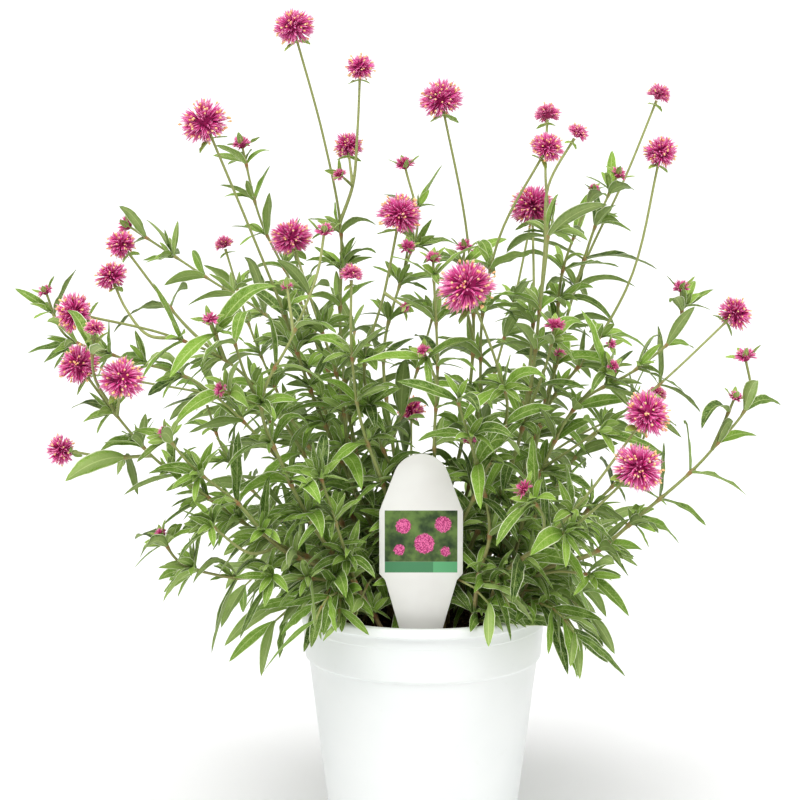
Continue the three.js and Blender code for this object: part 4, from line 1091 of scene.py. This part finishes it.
LEAF_FINISH = leaf_finish()
STEM_FINISH = stem_finish()
# The last colour of each is the painted shade at the florets' roots, also used for their mottle
FLORETS = floret_finish("Magenta florets", srgb(240, 86, 176), srgb(255, 192, 222), srgb(152, 24, 94))
YOUNG_FLORETS = floret_finish("Young florets", srgb(236, 94, 172), srgb(255, 196, 216), srgb(156, 46, 96))


# ---- foliage ----

BLADE_THICKNESS = 0.5
SMALL_LEAF = 27

# A large and a small leaf's steps of the midrib that get a row, and places across its two faces
LARGE_SECTION = (np.arange(0, LEAF_STEPS + 1, 2),
                 np.array([1, 0.55, 0, -0.55, -1.0]), np.array([-0.5, 0, 0.5]))
SMALL_SECTION = (np.array([0, 3, 6, 9, 12, 15, 18, LEAF_STEPS]), np.array([1, 0, -1.0]), np.array([0.0]))


def blades(leaves, seed, stops, top, under):
    """Leaf blades: a closed section of two folded faces carried along each midrib.

    Across the blade, height is the fold times the distance from the midrib, plus a wave along the
    margins that grows with the square of that distance. stops are the steps of the midrib that get a
    row, and top and under the places across the two faces, from -1 to 1.
    """
    random = np.random.default_rng(seed)
    point, across, up = (np.stack([leaf[key][stops] for leaf in leaves])[:, :, None]
                         for key in ("point", "across", "up"))
    half = np.stack([leaf["half"][stops] for leaf in leaves])[:, :, None, None]
    count, rows = len(leaves), len(stops)
    s = np.concatenate([top, under])[None, None, :, None]
    below = np.concatenate([np.zeros(len(top)), np.ones(len(under))])[None, None, :, None]
    u = (stops / LEAF_STEPS)[None, :, None, None]

    def each(low, high):
        return random.uniform(low, high, (count, 1, 1, 1))

    ripple = each(0.02, 0.2) * np.sin(2 * np.pi * (each(1.6, 3.4) * u + 0.12 * s) + each(0, 6.28)) * s ** 2
    fold = LEAF_FOLD * np.abs(s) ** 1.2 * each(0.3, 2.2)
    thick = BLADE_THICKNESS * np.sqrt(np.clip(1 - s ** 2, 0, 1)) * (1 - 0.5 * u)
    rib = 0.5 * np.exp(-(s / 0.2) ** 2) * (1 - u)
    height = half * (fold + ripple) + np.where(below > 0, -0.5 * thick - rib, 0.5 * thick)
    rings = point + across * (half * s) + up * height
    young = np.array([max(0.0, 1 - leaf["length"] / YOUNG_LENGTH) for leaf in leaves])[:, None, None, None]
    shape = (count, rows, s.shape[2], 1)
    tint = np.concatenate([np.broadcast_to(value, shape) for value in (each(0, 1), below, young)], -1)
    uv = np.concatenate([np.broadcast_to((s + 1) / 2, shape), np.broadcast_to(u, shape)], -1)
    middle = np.full((count, 2), 0.5)
    points, quads, fans = skin(rings[:, :-1], point[:, 0, 0], point[:, -1, 0])
    return (points, quads, fans, 0, spread(uv[:, :-1], middle * [1, 0], middle + [[0, 0.5]]),
            spread(tint[:, :-1], tint[:, 0, 0], tint[:, -1, 0]))


def foliage_parts(leaves, seed):
    """Large leaves with more rows across and along than small ones."""
    large = [leaf for leaf in leaves if leaf["length"] >= SMALL_LEAF]
    small = [leaf for leaf in leaves if leaf["length"] < SMALL_LEAF]
    return [blades(kept, number, *section) for kept, number, section in (
        (large, seed, LARGE_SECTION), (small, seed + 500, SMALL_SECTION)) if kept]


TWIG_SIDES = 6


def twig_tubes(twigs):
    """Short straight twigs whose radius falls in a straight line to their ends."""
    start, end = (np.array([twig[k] for twig in twigs]) for k in (0, 1))
    way = unit(end - start)
    first, second = about(way)
    turn = np.arange(TWIG_SIDES) * 2 * np.pi / TWIG_SIDES
    circle = first[:, None] * np.cos(turn)[:, None] + second[:, None] * np.sin(turn)[:, None]
    t = np.array([0.0, 0.5, 1.0])[None, :, None, None]
    rings = start[:, None, None] * (1 - t) + end[:, None, None] * t + circle[:, None] * (0.85 - 0.2 * t)
    tint = np.zeros(rings.shape) + [0.0, 0.0, 0.6]
    tint[:, 0, :, 0] = 0.8
    uv = np.zeros(rings.shape[:3] + (2,)) + (turn / (2 * np.pi))[:, None] * [1, 0]
    return patterned(rings, start, end + way * 0.4, 1, uv, tint)


STEM_SIDES = 10
NODE_SWELLING = 0.4
NODE_WIDTH = 2.4
STALK_END_SWELLING = 0.35


def stem_tube(shoot, number):
    """A round shoot carried along its path, thinner upwards, with a swelling at each node.

    The radius falls in a straight line from the foot's to the stalk's over the first 5/7 of the length.
    Each node adds a bell curve of the distance from it, and so does a stalk's end an exponential one.
    """
    stops = [shoot["along"]]
    for distance in shoot["nodes"]:
        stops.append(distance + np.array([-4, -2, -1, 0, 1, 2, 4]))
    fine = np.linspace(0, shoot["length"], int(shoot["length"] / 6) + 2)
    stops = np.unique(np.clip(np.concatenate(stops + [fine]), 0, shoot["length"]))
    stops = stops[np.concatenate([[True], np.diff(stops) > 0.4])]
    places = [point_at(shoot, distance) for distance in stops]
    point, across, other = (np.array([place[k] for place in places]) for k in (0, 2, 3))
    thick = MAIN_STEM_RADIUS if shoot["main"] else SIDE_SHOOT_RADIUS
    risen = np.maximum(0, stops - (FOOT_DEPTH + FOOT_RISE if shoot["main"] else 0))
    thinned = np.minimum(1, 1.4 * risen / shoot["length"])
    radius = thick + (STALK_RADIUS - thick) * thinned
    near, red = np.zeros(len(stops)), np.zeros(len(stops))
    for k, distance in enumerate(shoot["nodes"]):
        swell = np.exp(-((stops - distance) / NODE_WIDTH) ** 2)
        near = np.maximum(near, swell)
        red = np.maximum(red, swell * (0.25 + 0.75 * ((number * 0.618 + k * 0.377) % 1.0)))
    if shoot["main"]:
        near = np.where(stops < FOOT_DEPTH + 2, 0, near)
    radius = radius * (0.93 - 0.16 * thinned + NODE_SWELLING * near)
    if shoot["is_head"]:
        radius = radius * (1 + STALK_END_SWELLING * np.exp(-((shoot["length"] - stops) / 2.0)))
    turn = np.arange(STEM_SIDES) * 2 * np.pi / STEM_SIDES
    circle = across[:, None] * np.cos(turn)[:, None] + other[:, None] * np.sin(turn)[:, None]
    rings = (point[:, None] + circle * radius[:, None, None])[None]
    low = np.clip(1 - (point[:, 2] - SOIL_TOP) / 90, 0, 1) * (1.0 if shoot["main"] else 0.6)
    tone = np.full(len(stops), (number * 0.37) % 1.0) * 0.6 + 0.4 * np.clip((point[:, 2] - 300) / 200, 0, 1)
    red = np.maximum(red, 0.3 * low)
    tint = np.stack([red, low, tone], -1)[None, :, None].repeat(STEM_SIDES, 2)
    uv = np.stack(np.broadcast_arrays(np.arange(STEM_SIDES)[None, :] / STEM_SIDES,
                                      (stops / 100)[:, None]), -1)[None]
    return patterned(rings, point[:1], point[-1:], 1, uv, tint)


# ---- flower heads ----

def ball_of_directions(count, lowest, random):
    """Even directions on a ball by the golden angle, from its top down to lowest, shaken a little."""
    k = np.arange(count) + 0.5
    z = 1 - k / count * (1 - lowest)
    turn = k * math.pi * (3 - math.sqrt(5))
    side = np.sqrt(1 - z ** 2)
    way = np.stack([side * np.cos(turn), side * np.sin(turn), z], -1)
    return unit(way + random.normal(0, 0.06, way.shape))


def about(way):
    """Two directions square to each direction."""
    helper = np.where(np.abs(way[:, 2:]) < 0.8, UP, np.array([1.0, 0.0, 0.0]))
    first = unit(np.cross(helper, way))
    return first, np.cross(way, first)


STAR_LEAVES = 4


def star_bracts(size, middle, axis, random):
    """Narrow leaves spread like a star under a bud, evenly round its axis and then shaken a little."""
    base = middle - axis * size * 0.45
    first, second = about(axis[None])
    leaves = []
    for k in range(STAR_LEAVES):
        azimuth = k * math.pi / 2 + random.uniform(-0.3, 0.3)
        length = (size * 1.7 + 4) * random.uniform(0.8, 1.15)
        angle, droop, roll = random.uniform(0.65, 1.15), random.uniform(-0.2, 0.5), random.uniform(-0.8, 0.8)
        leaves.append(grow_leaf((base, axis, first[0], second[0]), azimuth, length, 3.0 + 0.24 * size,
                                angle, droop, roll))
    return leaves


def diamonds(along, wide_way, deep_way, wide, deep):
    """Rings of four corners round the points along, (bodies, rows, 3), by a half width and depth a row."""
    aside, out = wide_way[:, None] * wide[:, None], deep_way[:, None] * deep[:, None]
    return np.stack([along + aside, along + out, along - aside, along - out], 2)


# Where a bract's sections stand along it and their half widths, and its half depth as a share of those
BRACT_STOPS = np.array([0.0, 0.35, 0.68, 0.87])
BRACT_WIDTHS = np.array([0.4, 0.62, 0.6, 0.36])
BRACT_DEPTH = 0.45

# Where a stamen's sections and ends stand from its middle, and their half widths as shares of the widest
STAMEN_STOPS = np.array([-0.8, 0.1, 0.8])
STAMEN_WIDTHS = np.array([0.5, 1.0, 0.6])
STAMEN_ENDS = (-2.4, 1.15)

# The radius of the dark core of painted shade, and where bracts are rooted, as shares of the head's radius
CORE_SIZE = 0.42
ROOT_SIZE = 0.24
CORE_RINGS = 8
CORE_SIDES = 14


def tuft_bracts(size, heart, count, lowest, random):
    """Pointed bracts that lean from the directions of their tufts, heart, by a random amount.

    Each is a flat diamond section carried from the core to its tip, bowed by the square of the way along.
    """
    tufts = len(heart)
    tuft = np.arange(count) % tufts
    way = unit(heart[tuft] + random.normal(0, 0.95 / math.sqrt(tufts), (count, 3)))
    way = np.where(way[:, 2:] < lowest - 0.2, heart[tuft], way)
    first, second = about(way)
    reach = size * random.uniform(0.86, 1.04, (count, 1)) * random.uniform(0.86, 1.1, (tufts, 1))[tuft]
    root = unit(way + heart[tuft]) * size * ROOT_SIZE
    bow = random.normal(0, 0.07, (count, 1)) * reach
    t = BRACT_STOPS
    wide = BRACT_WIDTHS * min(1.0, 0.5 + size / 24)
    roll = random.uniform(0, 3.14, (count, 1))
    flat = first * np.cos(roll) + second * np.sin(roll)
    deep = np.cross(way, flat)
    along = (root[:, None] * (1 - t)[:, None] + (way * reach)[:, None] * t[:, None]
             + (deep * bow)[:, None] * (t ** 2)[:, None])
    rings = diamonds(along, flat, deep, wide, BRACT_DEPTH * wide)
    shape = rings.shape[:3] + (1,)
    tone = np.broadcast_to(random.uniform(0, 1, (count, 1, 1, 1)), shape)
    # The low reach at a bract's root gives it the painted shade colour
    grown = np.broadcast_to(0.24 + 0.76 * t[None, :, None, None], shape)
    tint = np.concatenate([grown, tone, np.zeros(shape)], -1)
    return rings, root * 0.6, way * reach + deep * bow, tint, tint[:, -1, 0] * [0, 1, 0] + [1, 0, 0]


def stamen_drops(size, heart, count, random):
    """Plump drops at the heart of each tuft and a few between."""
    way = unit(heart[np.arange(count) % len(heart)] + random.normal(0, 0.17, (count, 3)))
    first, second = about(way)
    at = size * random.uniform(0.66, 0.98, (count, 1))
    wide = STAMEN_WIDTHS * (0.46 + 0.026 * size)
    rings = diamonds(way[:, None] * (at + STAMEN_STOPS)[:, :, None], first, second, wide, wide)
    shape = rings.shape[:3] + (1,)
    tone = np.broadcast_to(random.uniform(0, 1, (count, 1, 1, 1)), shape)
    tint = np.concatenate([np.ones(shape), tone, np.ones(shape)], -1)
    start, end = (way * (at + distance) for distance in STAMEN_ENDS)
    return rings, start, end, tint, tint[:, 0, 0]


def painted_shade_core(size):
    """A small dark ball of painted shade at the heart of a head, in rings from pole to pole."""
    up = np.linspace(0.2, np.pi - 0.2, CORE_RINGS)[:, None]
    turn = np.arange(CORE_SIDES)[None] * 2 * np.pi / CORE_SIDES
    x, y = np.sin(up) * np.cos(turn), np.sin(up) * np.sin(turn)
    rings = np.stack(np.broadcast_arrays(x, y, -np.cos(up)), -1)[None] * size * CORE_SIZE
    pole = np.array([[0, 0, size * CORE_SIZE]])
    # Its tint gives it the florets' painted shade colour all over
    tint = np.zeros(rings.shape) + [0.15, 0.0, 0.0]
    return rings, -pole, pole, tint, tint[:, 0, 0]


def florets(size, middle, axis, count, random, number, lowest, stamens):
    """Narrow pointed bracts standing in tufts out of a small dark core of painted shade, with stamens between
    them.

    Tufts are spread evenly over the ball down to the height lowest. The ball is made round its own up, then
    flattened along it, turned to the stalk's direction and moved to its place.
    """
    heart = ball_of_directions(int(7 + 1.4 * size), lowest, random)
    pieces = [tuft_bracts(size, heart, count, lowest, random)]
    drops = int((8 + 4.2 * size) * stamens)
    if drops:
        pieces.append(stamen_drops(size, heart, drops, random))
    pieces.append(painted_shade_core(size))
    side, other = about(axis[None])
    turn = np.stack([side[0], other[0], axis])
    parts = []
    for rings, start, end, tint, end_tint in pieces:
        points, quads, fans = skin(rings, start, end)
        points = (points * [1, 1, HEAD_SQUASH]) @ turn + middle
        parts.append((points, quads, fans, number, np.zeros((len(points), 2)),
                      spread(tint, tint[:, 0, 0], end_tint)))
    return parts


# The height of the lowest tufts and the share of stamens, for an open head, a young one and a bud
OPEN_HEAD = (-0.93, 1.0)
YOUNG_HEAD = (-0.35, 0.4)
BUD_HEAD = (-0.3, 0.0)

# A bud's florets reach this many times as far as the size in the table
BUD_GROWTH = 1.3

# How many florets a head or a bud has: a least number, and so many more for each millimetre of its size
HEAD_FLORETS = (100, 19)
BUD_FLORETS = (36, 9)

# Edges sharper than these, in degrees, stay crisp
CRISP_LEAF = 55
CRISP_POT = 34
CRISP_LABEL = 50


def floret_count(numbers, size):
    """The number of florets for a size."""
    least, more = numbers
    return int(least + more * size)


def end_axis(shoot, row):
    """The direction from a row of a shoot's path to the middle of what is at its end."""
    return unit(shoot["middle"] - shoot["path"][row])


def make_head(shoot, head_number, random):
    """One flower head, as a piece of its own."""
    material, kind = (FLORETS, OPEN_HEAD) if shoot["tip"] == "head" else (YOUNG_FLORETS, YOUNG_HEAD)
    count = floret_count(HEAD_FLORETS, shoot["size"])
    parts = florets(shoot["size"], shoot["middle"], end_axis(shoot, -1), count, random, 0, *kind)
    head = make_mesh(f"Flower_head_{head_number:02d}", parts, [material])
    finish_piece(head, "flower_pink", f"flower_head_{head_number:02d}")


head_number = 0
for stem_number, shoots in enumerate(stems):
    parts = []
    leaves = [leaf for shoot in shoots for leaf in shoot["leaves"]]
    twigs = [twig for shoot in shoots for twig in shoot["twigs"]]
    for shoot_number, shoot in enumerate(shoots):
        parts.append(stem_tube(shoot, stem_number * 3 + shoot_number))
        random = np.random.default_rng(4000 + stem_number * 10 + shoot_number)
        if shoot["is_head"]:
            head_number += 1
            make_head(shoot, head_number, random)
        elif shoot["tip"] == "bud":
            size, axis = shoot["size"], end_axis(shoot, -2)
            count = floret_count(BUD_FLORETS, size)
            parts += florets(BUD_GROWTH * size, shoot["middle"], axis, count, random, 2, *BUD_HEAD)
            leaves += star_bracts(size, shoot["middle"], axis, random)
    parts = foliage_parts(leaves, 900 + stem_number) + parts
    if twigs:
        parts.append(twig_tubes(twigs))
    foliage = make_mesh(f"Leafy_stem_{stem_number + 1:02d}", parts, [LEAF_FINISH, STEM_FINISH, YOUNG_FLORETS])
    foliage.data.set_sharp_from_angle(angle=math.radians(CRISP_LEAF))
    finish_piece(foliage, "foliage", f"leafy_stem_{stem_number + 1:02d}")


# ---- pot ----

def rounded(profile, radius, steps=4):
    """A profile with each inner corner replaced by a quadratic curve that starts radius from it."""
    profile = np.array(profile, float)
    out = [profile[0]]
    for before, corner, after in zip(profile, profile[1:], profile[2:]):
        cut = min(radius, 0.45 * np.linalg.norm(corner - before), 0.45 * np.linalg.norm(after - corner))
        a = corner + unit(before - corner) * cut
        b = corner + unit(after - corner) * cut
        for t in np.linspace(0, 1, steps + 1):
            out.append(a * (1 - t) ** 2 + corner * 2 * t * (1 - t) + b * t ** 2)
    out.append(profile[-1])
    return np.array(out)


def turned(profile, sides):
    """A profile of (radius, height) carried round the upright axis; its ends close on the axis."""
    angle = np.arange(sides) * 2 * np.pi / sides
    inner = profile[1:-1]
    rings = np.stack(np.broadcast_arrays(inner[:, :1] * np.cos(angle), inner[:, :1] * np.sin(angle),
                                         inner[:, 1:]), -1)[None]
    return plain(*skin(rings, np.array([[0, 0, profile[0][1]]]), np.array([[0, 0, profile[-1][1]]])))


def pot_finish():
    """White moulded plastic: faint cloudiness, thin patches of dust and a fine pebbled bump."""
    f = Finish("White pot plastic", 0.42, (0.86, 0.875, 0.87, 1))
    f.set("Specular IOR Level", 0.4)
    white = f.mix(f.patches(14, 3, 0.3, 0.7), srgb(237, 239, 238), srgb(232, 235, 234))
    f.colour(f.lay(white, f.patches(160, 5, 0.62, 0.8), 0.12, srgb(214, 212, 204)))
    f.bump(f.noise(700, 2), 0.06, 0.0003)
    return f.material


POT_SIDES = 160
POT_ROUNDING = 1.1
DRILL_SIDES = 24
DRILL_PAST = 2


def drill_pot(pot):
    """Cuts the drain holes: upright cylinders on a circle round the axis, taken away from the floor."""
    angle = (np.arange(DRAIN_HOLES) + 0.5) * 2 * np.pi / DRAIN_HOLES
    low, high = -DRILL_PAST, POT_FLOOR + DRILL_PAST
    profile = np.array([(0, low), (DRAIN_HOLE_RADIUS, low), (DRAIN_HOLE_RADIUS, high), (0, high)], float)
    points, *faces = turned(profile, DRILL_SIDES)
    places = np.stack([DRAIN_HOLE_CIRCLE * np.cos(angle), DRAIN_HOLE_CIRCLE * np.sin(angle), 0 * angle], -1)
    drills = make_mesh("Drain_hole_drills", [(points + place, *faces) for place in places], [])
    cut = pot.modifiers.new("Drain holes", "BOOLEAN")
    cut.operation = "DIFFERENCE"
    cut.object = drills
    cut.solver = "EXACT"
    drilled = bpy.data.meshes.new_from_object(pot.evaluated_get(bpy.context.evaluated_depsgraph_get()))
    pot.modifiers.clear()
    pot.data = drilled
    bpy.data.objects.remove(drills)


lip_foot = POT_HEIGHT - LIP_HEIGHT
collar_inner = COLLAR_TOP_RADIUS - POT_WALL
POT_PROFILE = [
    (0, 0), (BASE_RADIUS - 1.5, 0), (BASE_RADIUS, 1.5), (BODY_TOP_RADIUS, COLLAR_FOOT_Z - 1),
    (COLLAR_FOOT_RADIUS, COLLAR_FOOT_Z), (COLLAR_TOP_RADIUS - 0.45, lip_foot - 7.2),
    (COLLAR_TOP_RADIUS - 0.1, lip_foot - 6.6), (COLLAR_TOP_RADIUS, lip_foot), (LIP_RADIUS, lip_foot + 0.5),
    (LIP_RADIUS, POT_HEIGHT - 1.4), (LIP_RADIUS - 1.4, POT_HEIGHT), (collar_inner, POT_HEIGHT),
    (COLLAR_FOOT_RADIUS - POT_WALL, COLLAR_FOOT_Z), (BODY_TOP_RADIUS - POT_WALL, COLLAR_FOOT_Z - 2),
    (BASE_RADIUS - POT_WALL + 0.3, POT_FLOOR), (0, POT_FLOOR),
]
pot = make_mesh("Nursery_pot", [turned(rounded(POT_PROFILE, POT_ROUNDING), POT_SIDES)], [pot_finish()])
drill_pot(pot)
pot.data.set_sharp_from_angle(angle=math.radians(CRISP_POT))
finish_piece(pot, "pot_plastic", "pot")


# ---- soil ----

def soil_finish():
    """Potting mix: dark peat with paler bark crumbs and white flecks, rough all over."""
    f = Finish("Potting mix", 0.95, (0.09, 0.06, 0.04, 1))
    brown = f.mix(f.patches(220, 6, 0.35, 0.65), srgb(46, 34, 26), srgb(104, 80, 58))
    brown = f.mix(f.tint()[1], brown, srgb(142, 112, 80))
    f.colour(f.mix(f.patches(700, 2, 0.72, 0.78), brown, srgb(206, 200, 186)))
    f.bump(f.noise(420, 6), 0.9, 0.0012)
    return f.material


SOIL_RINGS = 40
SOIL_SIDES = 120
SOIL_EDGE = 73
CRUMB_COUNT = 1400
CRUMB_SIDES = 5


def soil_body(random):
    """Soil filling the pot, its top lifted by sums of slow sines."""
    wall = COLLAR_FOOT_RADIUS - POT_WALL - CLEARANCE
    outer = [(BASE_RADIUS - POT_WALL - CLEARANCE, POT_FLOOR + 0.3), (BODY_TOP_RADIUS - POT_WALL - 0.4, 128.1),
             (wall - 0.1, COLLAR_FOOT_Z + 0.3), (wall + 0.6, SOIL_TOP - 3)]
    radii = np.concatenate([[r for r, _ in outer], np.linspace(SOIL_EDGE, 2, SOIL_RINGS)])
    heights = np.concatenate([[z for _, z in outer], np.full(SOIL_RINGS, float(SOIL_TOP))])
    turn = np.arange(SOIL_SIDES) * 2 * np.pi / SOIL_SIDES
    x, y = radii[:, None] * np.cos(turn), radii[:, None] * np.sin(turn)
    bumps = (0.9 * np.sin(x * 0.21 + 1) * np.cos(y * 0.17) + 0.6 * np.sin(x * 0.63 + y * 0.5)
             + 0.4 * np.cos(y * 1.3 - x * 0.8) + 0.35 * random.normal(0, 1, x.shape))
    on_top = (radii[:, None] < SOIL_EDGE + 1) & (heights[:, None] > SOIL_TOP - 2)
    rings = np.stack([x, y, heights[:, None] + np.where(on_top, bumps, 0)], -1)[None]
    return plain(*skin(rings, np.array([[0, 0, POT_FLOOR + 0.3]]), np.array([[0, 0, SOIL_TOP]])))


def soil_crumbs(random, count):
    """Loose crumbs sunk into the soil: two uneven five-sided rings, and a point below and above."""
    radius = (SOIL_EDGE - 1) * np.sqrt(random.uniform(0, 1, count))
    turn = random.uniform(0, 2 * np.pi, count)
    size = random.uniform(0.5, 1.9, count) * random.uniform(0.5, 1, count)
    centre = np.stack([radius * np.cos(turn), radius * np.sin(turn), SOIL_TOP + 0.4 + 0.3 * size], -1)
    spin = np.arange(CRUMB_SIDES) * 2 * np.pi / CRUMB_SIDES
    rows = []
    for level, share in ((-0.5, 0.8), (0.35, 0.9)):
        wobble = random.uniform(0.6, 1.3, (count, CRUMB_SIDES, 1))
        flat = np.stack([np.cos(spin), np.sin(spin), np.full(CRUMB_SIDES, level)], -1) * [share, share, 1]
        rows.append(centre[:, None] + flat * size[:, None, None] * wobble)
    rings = np.stack(rows, 1)
    lean = random.normal(0, 0.3, (count, 3)) * size[:, None]
    tone = random.uniform(0, 1, (count, 1, 1, 1)) ** 2
    below, above = centre - [0, 0, 1] * size[:, None], centre + lean + [0, 0, 0.8] * size[:, None]
    tint = np.zeros(rings.shape) + tone * [0, 1, 0]
    return patterned(rings, below, above, 0, np.zeros(rings.shape[:3] + (2,)), tint)


soil_random = np.random.default_rng(71)
soil_made = [soil_body(soil_random), soil_crumbs(soil_random, CRUMB_COUNT)]
soil = make_mesh("Potting_soil", soil_made, [soil_finish()])
finish_piece(soil, "potting_mix", "soil")


# ---- label ----

def label_outline():
    """The label's outline as (x, z): a round cap, straight sloping shoulders, upright sides and a stake."""
    turn = np.linspace(LABEL_CAP_LOWEST, math.pi - LABEL_CAP_LOWEST, 33)
    cap = np.stack([LABEL_CAP_RADIUS * np.cos(turn), LABEL_TOP + LABEL_CAP_RADIUS * (np.sin(turn) - 1)], -1)
    half = np.array([(-LABEL_WIDTH / 2, LABEL_SHOULDER_Z), (-LABEL_WIDTH / 2, LABEL_NOTCH_Z + 4),
                     (-LABEL_NOTCH_WIDTH / 2, LABEL_NOTCH_Z), (-LABEL_STAKE_WIDTH / 2, LABEL_STAKE_Z),
                     (-LABEL_STAKE_WIDTH * 0.36, LABEL_POINT_Z + 16)])
    outline = np.concatenate([cap, half, [(0, LABEL_POINT_Z)], half[::-1] * [-1, 1]])
    return outline + [LABEL_CENTRE_X, 0]


PANEL_HALF_WIDTH = 22.4
PANEL_TOP_Z = 235.7
PANEL_FOOT_Z = 203.6
BAND_FOOT_Z = 196.8

# The round tufts on the panel: (x, z, radius)
PANEL_TUFTS = ((-11, 226, 5.0), (2, 215, 6.6), (13.5, 227, 5.4), (-13.5, 211, 3.8), (15, 210, 3.4))


def label_finish():
    """Pale plastic label: a mottled green panel with a few round pink tufts, and a two-tone band below."""
    f = Finish("Label plastic", 0.38, (0.8, 0.79, 0.77, 1))
    x, _, z = f.parts(f.place())

    def between(value, low, high, soft=0.00015):
        inside = f.ramp(value, low - soft, low + soft)
        return f.math("SUBTRACT", inside, f.ramp(value, high - soft, high + soft))

    wide = between(x, (LABEL_CENTRE_X - PANEL_HALF_WIDTH) / 1000, (LABEL_CENTRE_X + PANEL_HALF_WIDTH) / 1000)
    panel = f.math("MULTIPLY", wide, between(z, PANEL_FOOT_Z / 1000, PANEL_TOP_Z / 1000))
    band = f.math("MULTIPLY", wide, between(z, BAND_FOOT_Z / 1000, PANEL_FOOT_Z / 1000))
    field = f.mix(f.patches(120, 4, 0.3, 0.7), srgb(38, 62, 30), srgb(112, 140, 72))
    fuzz = f.math("MULTIPLY", f.math("SUBTRACT", f.noise(900, 2), 0.5), 0.0028)
    for dx, dz, radius in PANEL_TUFTS:
        across = f.math("POWER", f.math("SUBTRACT", x, (LABEL_CENTRE_X + dx) / 1000), 2.0)
        raised = f.math("POWER", f.math("SUBTRACT", z, dz / 1000), 2.0)
        away = f.math("ADD", f.math("SQRT", f.math("ADD", across, raised)), fuzz)
        dot = f.math("SUBTRACT", 1.0, f.ramp(away, (radius - 0.8) / 1000, radius / 1000))
        petal = f.mix(f.patches(1500, 1, 0.4, 0.6), srgb(176, 44, 112), srgb(238, 124, 178))
        field = f.mix(dot, field, petal)
    plastic = f.mix(f.patches(40, 2, 0.3, 0.7), srgb(240, 239, 236), srgb(234, 232, 229))
    bands = f.mix(f.ramp(x, 0.0053, 0.0056), srgb(80, 142, 100), srgb(104, 178, 128))
    plastic = f.mix(band, plastic, bands)
    f.colour(f.mix(panel, plastic, field))
    f.bump(f.noise(300, 2), 0.04, 0.0003)
    return f.material


# The rings round the label's edge: (place through the thickness, how far inside the outline)
EDGE_RINGS = ((-0.5, 0.25), (-0.36, 0.06), (-0.2, 0.0), (0.2, 0.0), (0.36, 0.06), (0.5, 0.25))


def label_edge():
    """The outline carried through the thickness, shrunk a little at both faces to round the edge."""
    outline = label_outline()
    edge = np.roll(outline, -1, 0) - np.roll(outline, 1, 0)
    normal = unit(np.stack([edge[:, 1], -edge[:, 0]], -1))
    rings = []
    for share, inset in EDGE_RINGS:
        x, z = (outline - normal * inset).T
        rings.append(np.stack([x, np.full(len(x), LABEL_Y + share * LABEL_THICKNESS), z], -1))
    return plain(np.concatenate(rings), ring_quads(1, len(rings), len(outline)), np.zeros((0, 3), int))


def close_faces(label):
    """Fills the front and the back of the label's edge with flat triangles that point outwards."""
    work = bmesh.new()
    work.from_mesh(label.data)
    bmesh.ops.holes_fill(work, edges=[edge for edge in work.edges if edge.is_boundary], sides=0)
    bmesh.ops.triangulate(work, faces=[face for face in work.faces if len(face.verts) > 4])
    bmesh.ops.recalc_face_normals(work, faces=work.faces)
    work.to_mesh(label.data)
    work.free()


label = make_mesh("Plant_label", [label_edge()], [label_finish()])
close_faces(label)
label.data.set_sharp_from_angle(angle=math.radians(CRISP_LABEL))
finish_piece(label, "label_plastic", "plant_label")


# ---- studio ----

# The lamps: (name, degrees round from the front, degrees raised, strength, width of the sun in degrees)
LAMPS = (("Key lamp", -22, 62, 1.8, 46), ("Fill lamp", 48, 42, 0.48, 50))
SEEN_WHITE = 1.05
WHITE_LIGHT = 0.5
FLOOR_RADIUS = 40
FLOOR_SIDES = 96


def studio():
    """A pale floor, even white surroundings, two wide soft lamps and the camera at the eye's place."""
    floor_mesh = bpy.data.meshes.new("Studio_floor")
    turn = np.arange(FLOOR_SIDES) * 2 * np.pi / FLOOR_SIDES
    rim = np.stack([FLOOR_RADIUS * np.cos(turn), FLOOR_RADIUS * np.sin(turn), 0 * turn], -1)
    floor_mesh.from_pydata(rim.tolist(), [], [list(range(FLOOR_SIDES))])
    floor = bpy.data.objects.new("Studio_floor", floor_mesh)
    bpy.context.scene.collection.objects.link(floor)
    f = Finish("Pale floor", 0.9, (0.9, 0.9, 0.9, 1))
    f.colour(f.mix(f.noise(3, 2), srgb(251, 251, 251), srgb(247, 247, 247)))
    f.set("Specular IOR Level", 0.2)
    floor_mesh.materials.append(f.material)

    world = bpy.data.worlds.new("White studio")
    bpy.context.scene.world = world
    world.use_nodes = True
    nodes, links = world.node_tree.nodes, world.node_tree.links
    light, seen = nodes["Background"], nodes.new("ShaderNodeBackground")
    for surroundings, strength in ((light, WHITE_LIGHT), (seen, SEEN_WHITE)):
        surroundings.inputs["Color"].default_value = (1, 1, 1, 1)
        surroundings.inputs["Strength"].default_value = strength
    choice = nodes.new("ShaderNodeMixShader")
    links.new(nodes.new("ShaderNodeLightPath").outputs["Is Camera Ray"], choice.inputs[0])
    links.new(light.outputs[0], choice.inputs[1])
    links.new(seen.outputs[0], choice.inputs[2])
    links.new(choice.outputs[0], nodes["World Output"].inputs["Surface"])

    for name, turned_by, raised, power, soft in LAMPS:
        lamp = bpy.data.lights.new(name, "SUN")
        lamp.energy = power
        lamp.angle = math.radians(soft)
        piece = bpy.data.objects.new(name, lamp)
        bpy.context.scene.collection.objects.link(piece)
        piece.location = (0, -1, 2)
        piece.rotation_euler = (math.radians(90 - raised), 0, math.radians(turned_by))

    lens = bpy.data.cameras.new("Camera")
    lens.lens = EYE_LENS
    lens.sensor_width = 36
    lens.clip_end = 100
    camera = bpy.data.objects.new("Camera", lens)
    camera.location = [v / 1000 for v in EYE]
    camera.rotation_euler = (math.radians(90 - EYE_PITCH), 0, 0)
    bpy.context.scene.collection.objects.link(camera)
    bpy.context.scene.camera = camera
    bpy.context.scene.view_settings.view_transform = "Standard"
    bpy.context.scene.view_settings.look = "Medium High Contrast"


studio()
